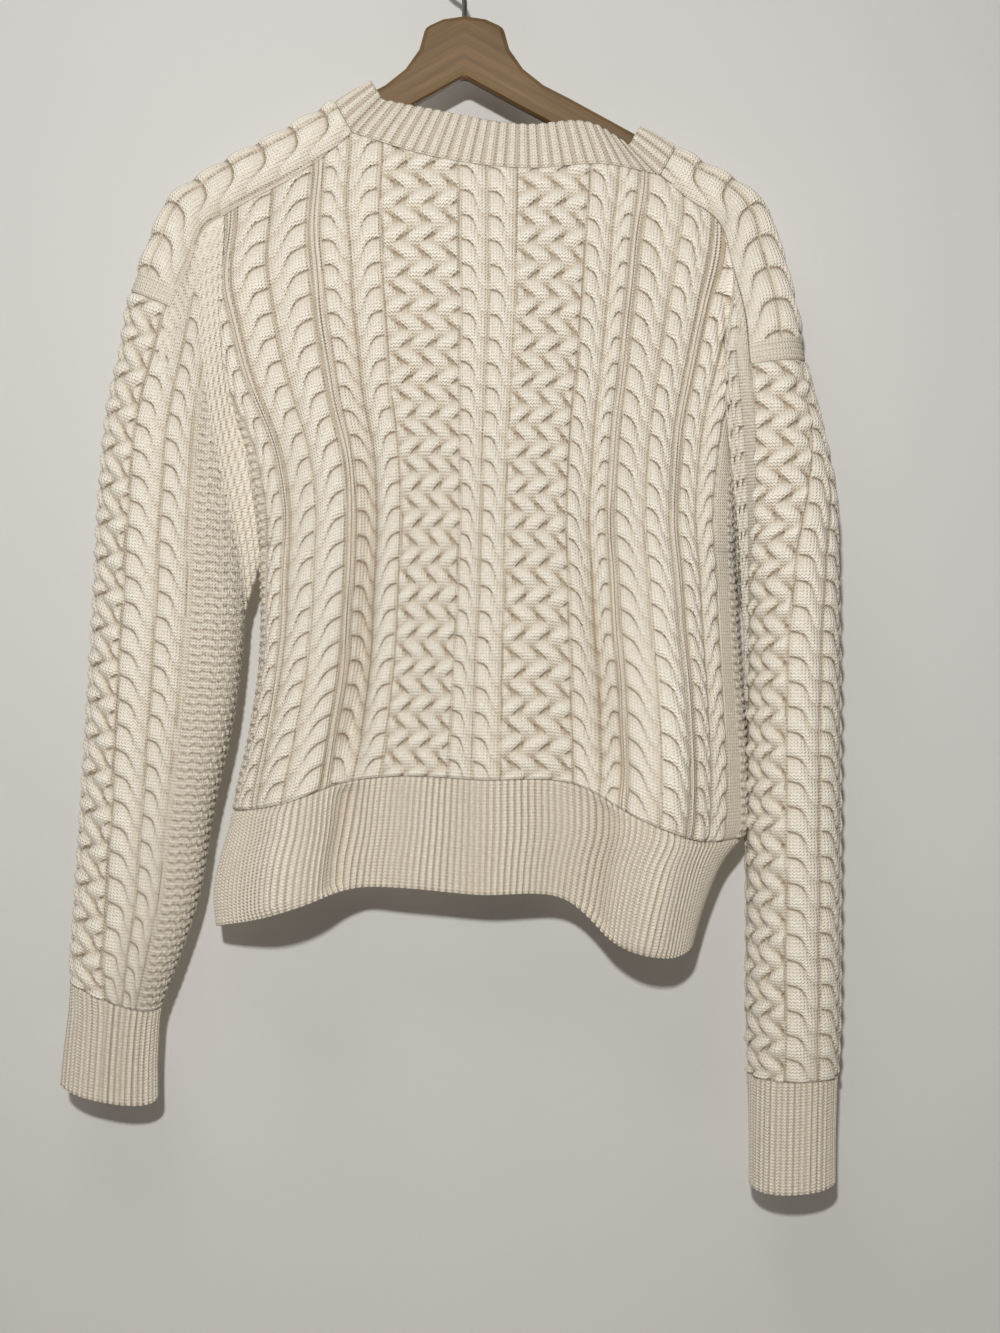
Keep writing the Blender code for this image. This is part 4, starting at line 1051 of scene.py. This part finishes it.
def lattice_lines(n, first, second):
    """The painted shadow along the edge of each strand where it lies over another, and painted shade in the
    openings between four strands.
    """
    over = n.maths("COSINE", n.maths("MULTIPLY_ADD", second, math.pi / LATTICE_RISE, 0.6))
    turn = n.maths("MULTIPLY", second, 2 * math.pi / LATTICE_RISE)
    climb = n.maths("MULTIPLY", second, 1 / (2 * LATTICE_RISE))
    climb = n.maths("MULTIPLY_ADD", n.maths("SINE", turn), LATTICE_SWING / (4 * math.pi), climb)
    steep = LATTICE_STEP / (2 * LATTICE_RISE)
    slope = n.maths("MULTIPLY_ADD", n.maths("COSINE", turn), steep * LATTICE_SWING, steep)
    shrink = n.maths("POWER", n.maths("MULTIPLY_ADD", slope, slope, 1.0), -0.5)
    found, opening = 0.0, 1.0
    for lean, sign, highest in ((-1, 1.0, 1.0), (1, -1.0, RISING_LIFT)):
        turns = n.maths("MULTIPLY_ADD", first, 1 / LATTICE_STEP, n.maths("MULTIPLY", climb, lean))
        away = n.maths("SUBTRACT", turns, n.maths("ROUND", turns))
        away = n.maths("MULTIPLY", n.maths("MULTIPLY", away, shrink), LATTICE_STEP / STRAND_HALF)
        beside = n.maths("MULTIPLY_ADD", n.maths("ABSOLUTE", away), 5.0, -4.4)
        opening = n.maths("MULTIPLY", opening, clamped(n, beside))
        lift = clamped(n, n.maths("MULTIPLY_ADD", over, sign * 3.2, -1.9), 0.0, highest)
        found = n.maths("MAXIMUM", found, n.maths("MULTIPLY", gap(n, away, sign * 0.98, 0.12), lift))
    return n.maths("MAXIMUM", found, opening)


def crevice_shade_lines(n, up):
    """1 in the undercut lines between lobes, strands and wales, and in the holes beside a rope, else 0. There
    the yarn is painted dark as shade, and its bump sinks.
    """
    first, second, kind = n.split(n.add("Attribute", attribute_name="weave").outputs["Vector"])
    t = n.maths("FRACT", first)
    lines = {
        ROPE_KIND: rope_lines(n, t, second, up),
        LATTICE_KIND: lattice_lines(n, first, second),
        RIDGE_KIND: furrow(n, t, 0.17),
        RIB_KIND: n.maths("MULTIPLY", furrow(n, t, 0.2), 0.45),
        GARTER_KIND: garter_lines(n, t, second),
    }
    found = 0.0
    for which, line in lines.items():
        found = n.maths("MAXIMUM", found, n.maths("MULTIPLY", line, gap(n, kind, which, 0.2)))
    return found


def yarn_material():
    """Cream wool, with shade painted into its colour: paler on the relief's tops, darker and browner down in
    it, in its undercut lines and in the low parts of the small V of every stitch.
    """
    n = Nodes("yarn")
    across, up, height = n.split(n.add("Attribute", attribute_name="knit").outputs["Vector"])
    # Painted shade: the lower the relief, the darker and browner the yarn; creases and the inner side count as
    # low
    level = n.maths("MULTIPLY_ADD", height, 1 / ROPE_HEIGHT, YARN_LEVEL)
    tone = n.ramp(level, YARN_TONES_AND_DEPTH_SHADE)
    where = n.add("TexCoord").outputs["Object"]
    patch = n.noise(PATCH_SCALE, 3.0, 0.5, where)
    tone = n.mix(n.maths("MULTIPLY", patch, 0.30), tone, (*YARN_WARM, 1.0), "MULTIPLY")
    speck = n.noise(SPECK_SCALE, 3.0, 0.7, where)
    tone = n.mix(n.maths("MULTIPLY_ADD", speck, 2.0, -0.75), tone, (*YARN_SPECK_AND_SHADE, 1.0), "MULTIPLY")
    # Painted shade in the undercut lines and holes
    crevice_shade = crevice_shade_lines(n, up)
    tone = n.mix(n.maths("MULTIPLY", crevice_shade, CREVICE_SHADE_AMOUNT), tone, (*YARN_PAINTED_SHADE, 1.0))
    # The small V of every stitch: raised in the bump, with its low parts painted darker as shade
    wale = n.maths("MULTIPLY", across, 1 / STITCH_WIDTH)
    lean = n.maths("ABSOLUTE", n.maths("SUBTRACT", n.maths("FRACT", wale), 0.5))
    course = n.maths("MULTIPLY_ADD", up, 1 / STITCH_HEIGHT, n.maths("MULTIPLY", lean, 1.1))
    v_shape = n.maths("SINE", n.maths("MULTIPLY", course, 2 * math.pi))
    groove = n.maths("SINE", n.maths("MULTIPLY", lean, math.pi))
    stitch = n.maths("ADD", n.maths("MULTIPLY", v_shape, 0.35), n.maths("MULTIPLY", groove, 0.65))
    tone = n.mix(n.maths("MULTIPLY_ADD", stitch, -0.40, 0.30), tone, (*YARN_SPECK_AND_SHADE, 1.0), "MULTIPLY")
    normal = n.bump(n.maths("SUBTRACT", 1.0, crevice_shade), CREVICE_BUMP, CREVICE_STRENGTH)
    normal = n.bump(stitch, STITCH_BUMP, STITCH_STRENGTH, normal)
    normal = n.bump(n.noise(FUZZ_SCALE, 3.0, 0.7, where), FUZZ_BUMP, FUZZ_STRENGTH, normal)
    n.feed(n.shader.inputs["Base Color"], tone)
    n.shader.inputs["Roughness"].default_value = 0.92
    n.shader.inputs["Specular IOR Level"].default_value = 0.15
    n.shader.inputs["Sheen Weight"].default_value = 0.25
    n.shader.inputs["Sheen Roughness"].default_value = 0.6
    n.shader.inputs["Sheen Tint"].default_value = (1.0, 0.95, 0.87, 1.0)
    n.feed(n.shader.inputs["Normal"], normal)
    return n.material


def wood_material():
    """Light brown wood whose grain runs along each arm, with a thin satin lacquer."""
    n = Nodes("wood")
    where = n.add("TexCoord").outputs["Object"]
    x, y, z = n.split(where)
    across = n.maths("MULTIPLY_ADD", n.maths("ABSOLUTE", x), ARM_SLOPE, z)
    grain = n.noise(1.6, 5.0, 0.62, n.stretched((x, y, across), GRAIN_SCALES))
    fine = n.noise(1.0, 2.0, 0.5, n.stretched((x, y, across), PORE_SCALES))
    tone = n.ramp(grain, WOOD_TONES)
    tone = n.mix(n.maths("MULTIPLY", fine, 0.35), tone, (*WOOD_PORES, 1.0), "MULTIPLY")
    n.feed(n.shader.inputs["Base Color"], tone)
    n.shader.inputs["Roughness"].default_value = 0.55
    n.shader.inputs["Specular IOR Level"].default_value = 0.3
    n.shader.inputs["Coat Weight"].default_value = 0.03
    n.shader.inputs["Coat Roughness"].default_value = 0.35
    n.feed(n.shader.inputs["Normal"], n.bump(grain, 0.0003, 0.25))
    return n.material


def steel_material():
    """Bare steel wire, a little uneven in tone."""
    n = Nodes("steel")
    wear = n.noise(160.0, 3.0, 0.5, n.add("TexCoord").outputs["Object"])
    n.feed(n.shader.inputs["Base Color"], n.ramp(wear, STEEL_TONES))
    n.shader.inputs["Metallic"].default_value = 1.0
    n.shader.inputs["Roughness"].default_value = 0.36
    return n.material


def wall_material():
    """Painted plaster, which is clear from behind and lets the rear light in, so that the front shows too."""
    n = Nodes("wall")
    where = n.add("TexCoord").outputs["Object"]
    tone = n.ramp(n.noise(1.3, 3.0, 0.5, where), WALL_TONES)
    n.feed(n.shader.inputs["Base Color"], tone)
    n.shader.inputs["Roughness"].default_value = 0.85
    n.feed(n.shader.inputs["Normal"], n.bump(n.noise(140.0, 4.0, 0.6, where), 0.001, 0.12))
    choose = n.add("MixShader")
    behind = n.add("NewGeometry").outputs["Backfacing"]
    n.feed(choose.inputs[0], n.maths("MAXIMUM", behind, n.add("LightPath").outputs["Is Shadow Ray"]))
    n.feed(choose.inputs[1], n.shader.outputs[0])
    n.feed(choose.inputs[2], n.add("BsdfTransparent").outputs[0])
    n.feed(n.tree.nodes["Material Output"].inputs["Surface"], choose.outputs[0])
    return n.material


# ---- the whole


def form_of_body(side):
    return Form(lambda drop, shares: body_section(side, drop, shares), BODY_TOP, BODY_BOTTOM)


def form_of_sleeve(side):
    top, bottom = SLEEVE[side][0][0], SLEEVE[side][-1][0]
    return Form(lambda drop, shares: sleeve_section(side, drop, shares), top, bottom)


FORMS = {"back": form_of_body("back"), "front": form_of_body("front")}
FORMS["left"], FORMS["right"] = form_of_sleeve("left"), form_of_sleeve("right")


def knitted(name, piece, bands, across, flip, sleeve=None):
    """A piece of cabled cloth. A sleeve also has a plain strip along its armhole."""
    piece.flip = flip
    height, weave = knit(bands, across, piece.up)
    if sleeve:
        strip = (piece.edge < SLEEVE_STRIP[sleeve]) & (-OUTWARD_X[sleeve] * across > STRIP_FROM)
        strip &= piece.up > STRIP_END
        ridges = abs(np.sin(math.pi * piece.edge / STRIP_PITCH))
        height[strip] = PLAIN_HEIGHT + STRIP_HEIGHT * ridges[strip]
        weave[strip] = 0
    return build(name, piece, settled(piece, height), weave)


def ribbed(name, piece, pitch, flip):
    """A piece of ribbing."""
    piece.flip = flip
    wales = piece.across / pitch + 0.5
    weave = np.stack([wales, np.zeros_like(wales), np.full_like(wales, RIB_KIND)], axis=-1)
    return build(name, piece, settled(piece, rib(piece.across, pitch), RIB_RAMP), weave)


def dress():
    """Builds every piece of cloth. It also goes through the table of cuts, but nothing is done with what it
    finds.
    """
    made = {}
    for side in ("back", "front"):
        piece = panel_piece(side)
        crease(piece, BACK_CREASES)
        made[side + "_panel"] = knitted(side + "_panel", piece, BACK_BANDS, piece.across, side == "front")
        piece = hem_piece(side)
        crease(piece, HEM_CREASES, HEM_CREASE_RAMP)
        made["hem_" + side] = ribbed("hem_" + side, piece, RIB_PITCH, side == "front")
    for side in ("left", "right"):
        flip = side == "left"
        piece = strap_piece(side)
        piece.flip = flip
        height, weave = knit(STRAP_BANDS, piece.across, piece.up)
        plain = piece.up < STRAP_END
        rows = abs(np.sin(math.pi * piece.up / STRAP_END_PITCH))
        height[plain] = STRAP_END_BASE + STRAP_END_HEIGHT * rows[plain]
        weave[plain] = 0
        made["strap_" + side] = build("strap_" + side, piece, settled(piece, height, RIB_RAMP), weave)
        piece = sleeve_piece(side)
        across = piece.across * -OUTWARD_X[side]
        made["sleeve_" + side] = knitted("sleeve_" + side, piece, SLEEVE_BANDS[side], across, flip, side)
        made["cuff_" + side] = ribbed("cuff_" + side, cuff_piece(side), CUFF_PITCH, flip)
    made["neckband"] = ribbed("neckband", neckband_piece(), BAND_PITCH, False)
    for name, (flat, area, rests_on) in CUTS.items():
        rests_on = [made[x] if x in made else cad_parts[x] for x in rests_on]
    return made


def area_light(name, place, target, size, power, colour):
    light = bpy.data.lights.new(name, "AREA")
    light.shape = "RECTANGLE"
    light.size, light.size_y = size
    light.energy = power
    light.color = colour
    thing = bpy.data.objects.new(name, light)
    thing.location = place
    aim = np.array(target) - np.array(place)
    thing.rotation_euler = Vector(aim).to_track_quat("-Z", "Y").to_euler()
    bpy.context.scene.collection.objects.link(thing)


def sheet_quad(name, corners, material):
    mesh = bpy.data.meshes.new(name)
    mesh.from_pydata(corners, [], [(0, 1, 2, 3)])
    mesh.materials.append(material)
    thing = bpy.data.objects.new(name, mesh)
    bpy.context.scene.collection.objects.link(thing)


def floor_material():
    """A pale plain floor."""
    n = Nodes("floor")
    where = n.add("TexCoord").outputs["Object"]
    n.feed(n.shader.inputs["Base Color"], n.ramp(n.noise(3.0, 3.0, 0.5, where), FLOOR_TONES))
    n.shader.inputs["Roughness"].default_value = 0.8
    return n.material


def room():
    """The wall close behind the sweater, a pale floor, a lamp in front, weak light from above and behind, and
    the camera."""
    w, top, low = ROOM_HALF, ROOM_TOP, FLOOR_Z
    corners = [(-w, WALL_Y, low), (w, WALL_Y, low), (w, WALL_Y, top), (-w, WALL_Y, top)]
    sheet_quad("wall", corners, wall_material())
    sheet_quad("floor", [(-w, -w, low), (w, -w, low), (w, w, low), (-w, w, low)], floor_material())
    for name, place, target, size, power, colour in LIGHTS:
        area_light(name, place, target, size, power, colour)
    world = bpy.data.worlds.new("room light")
    world.use_nodes = True
    world.node_tree.nodes["Background"].inputs["Color"].default_value = (*WORLD_COLOUR, 1.0)
    world.node_tree.nodes["Background"].inputs["Strength"].default_value = WORLD_STRENGTH
    bpy.context.scene.world = world
    lens = bpy.data.cameras.new("camera")
    lens.sensor_fit = "VERTICAL"
    lens.angle = 2 * math.atan(VIEW_HEIGHT / 2 / VIEW_DISTANCE)
    camera = bpy.data.objects.new("camera", lens)
    camera.location = (VIEW_X, -VIEW_DISTANCE, VIEW_Z)
    camera.rotation_euler = (math.pi / 2, 0, 0)
    bpy.context.scene.collection.objects.link(camera)
    bpy.context.scene.camera = camera


bpy.context.scene.view_settings.view_transform = "Standard"
pieces = dress()
yarn = yarn_material()
for cloth in pieces.values():
    cloth.data.materials.append(yarn)
for node, finish in (("hanger", wood_material()), ("hook", steel_material())):
    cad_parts[node].data.materials.clear()
    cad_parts[node].data.materials.append(finish)
room()
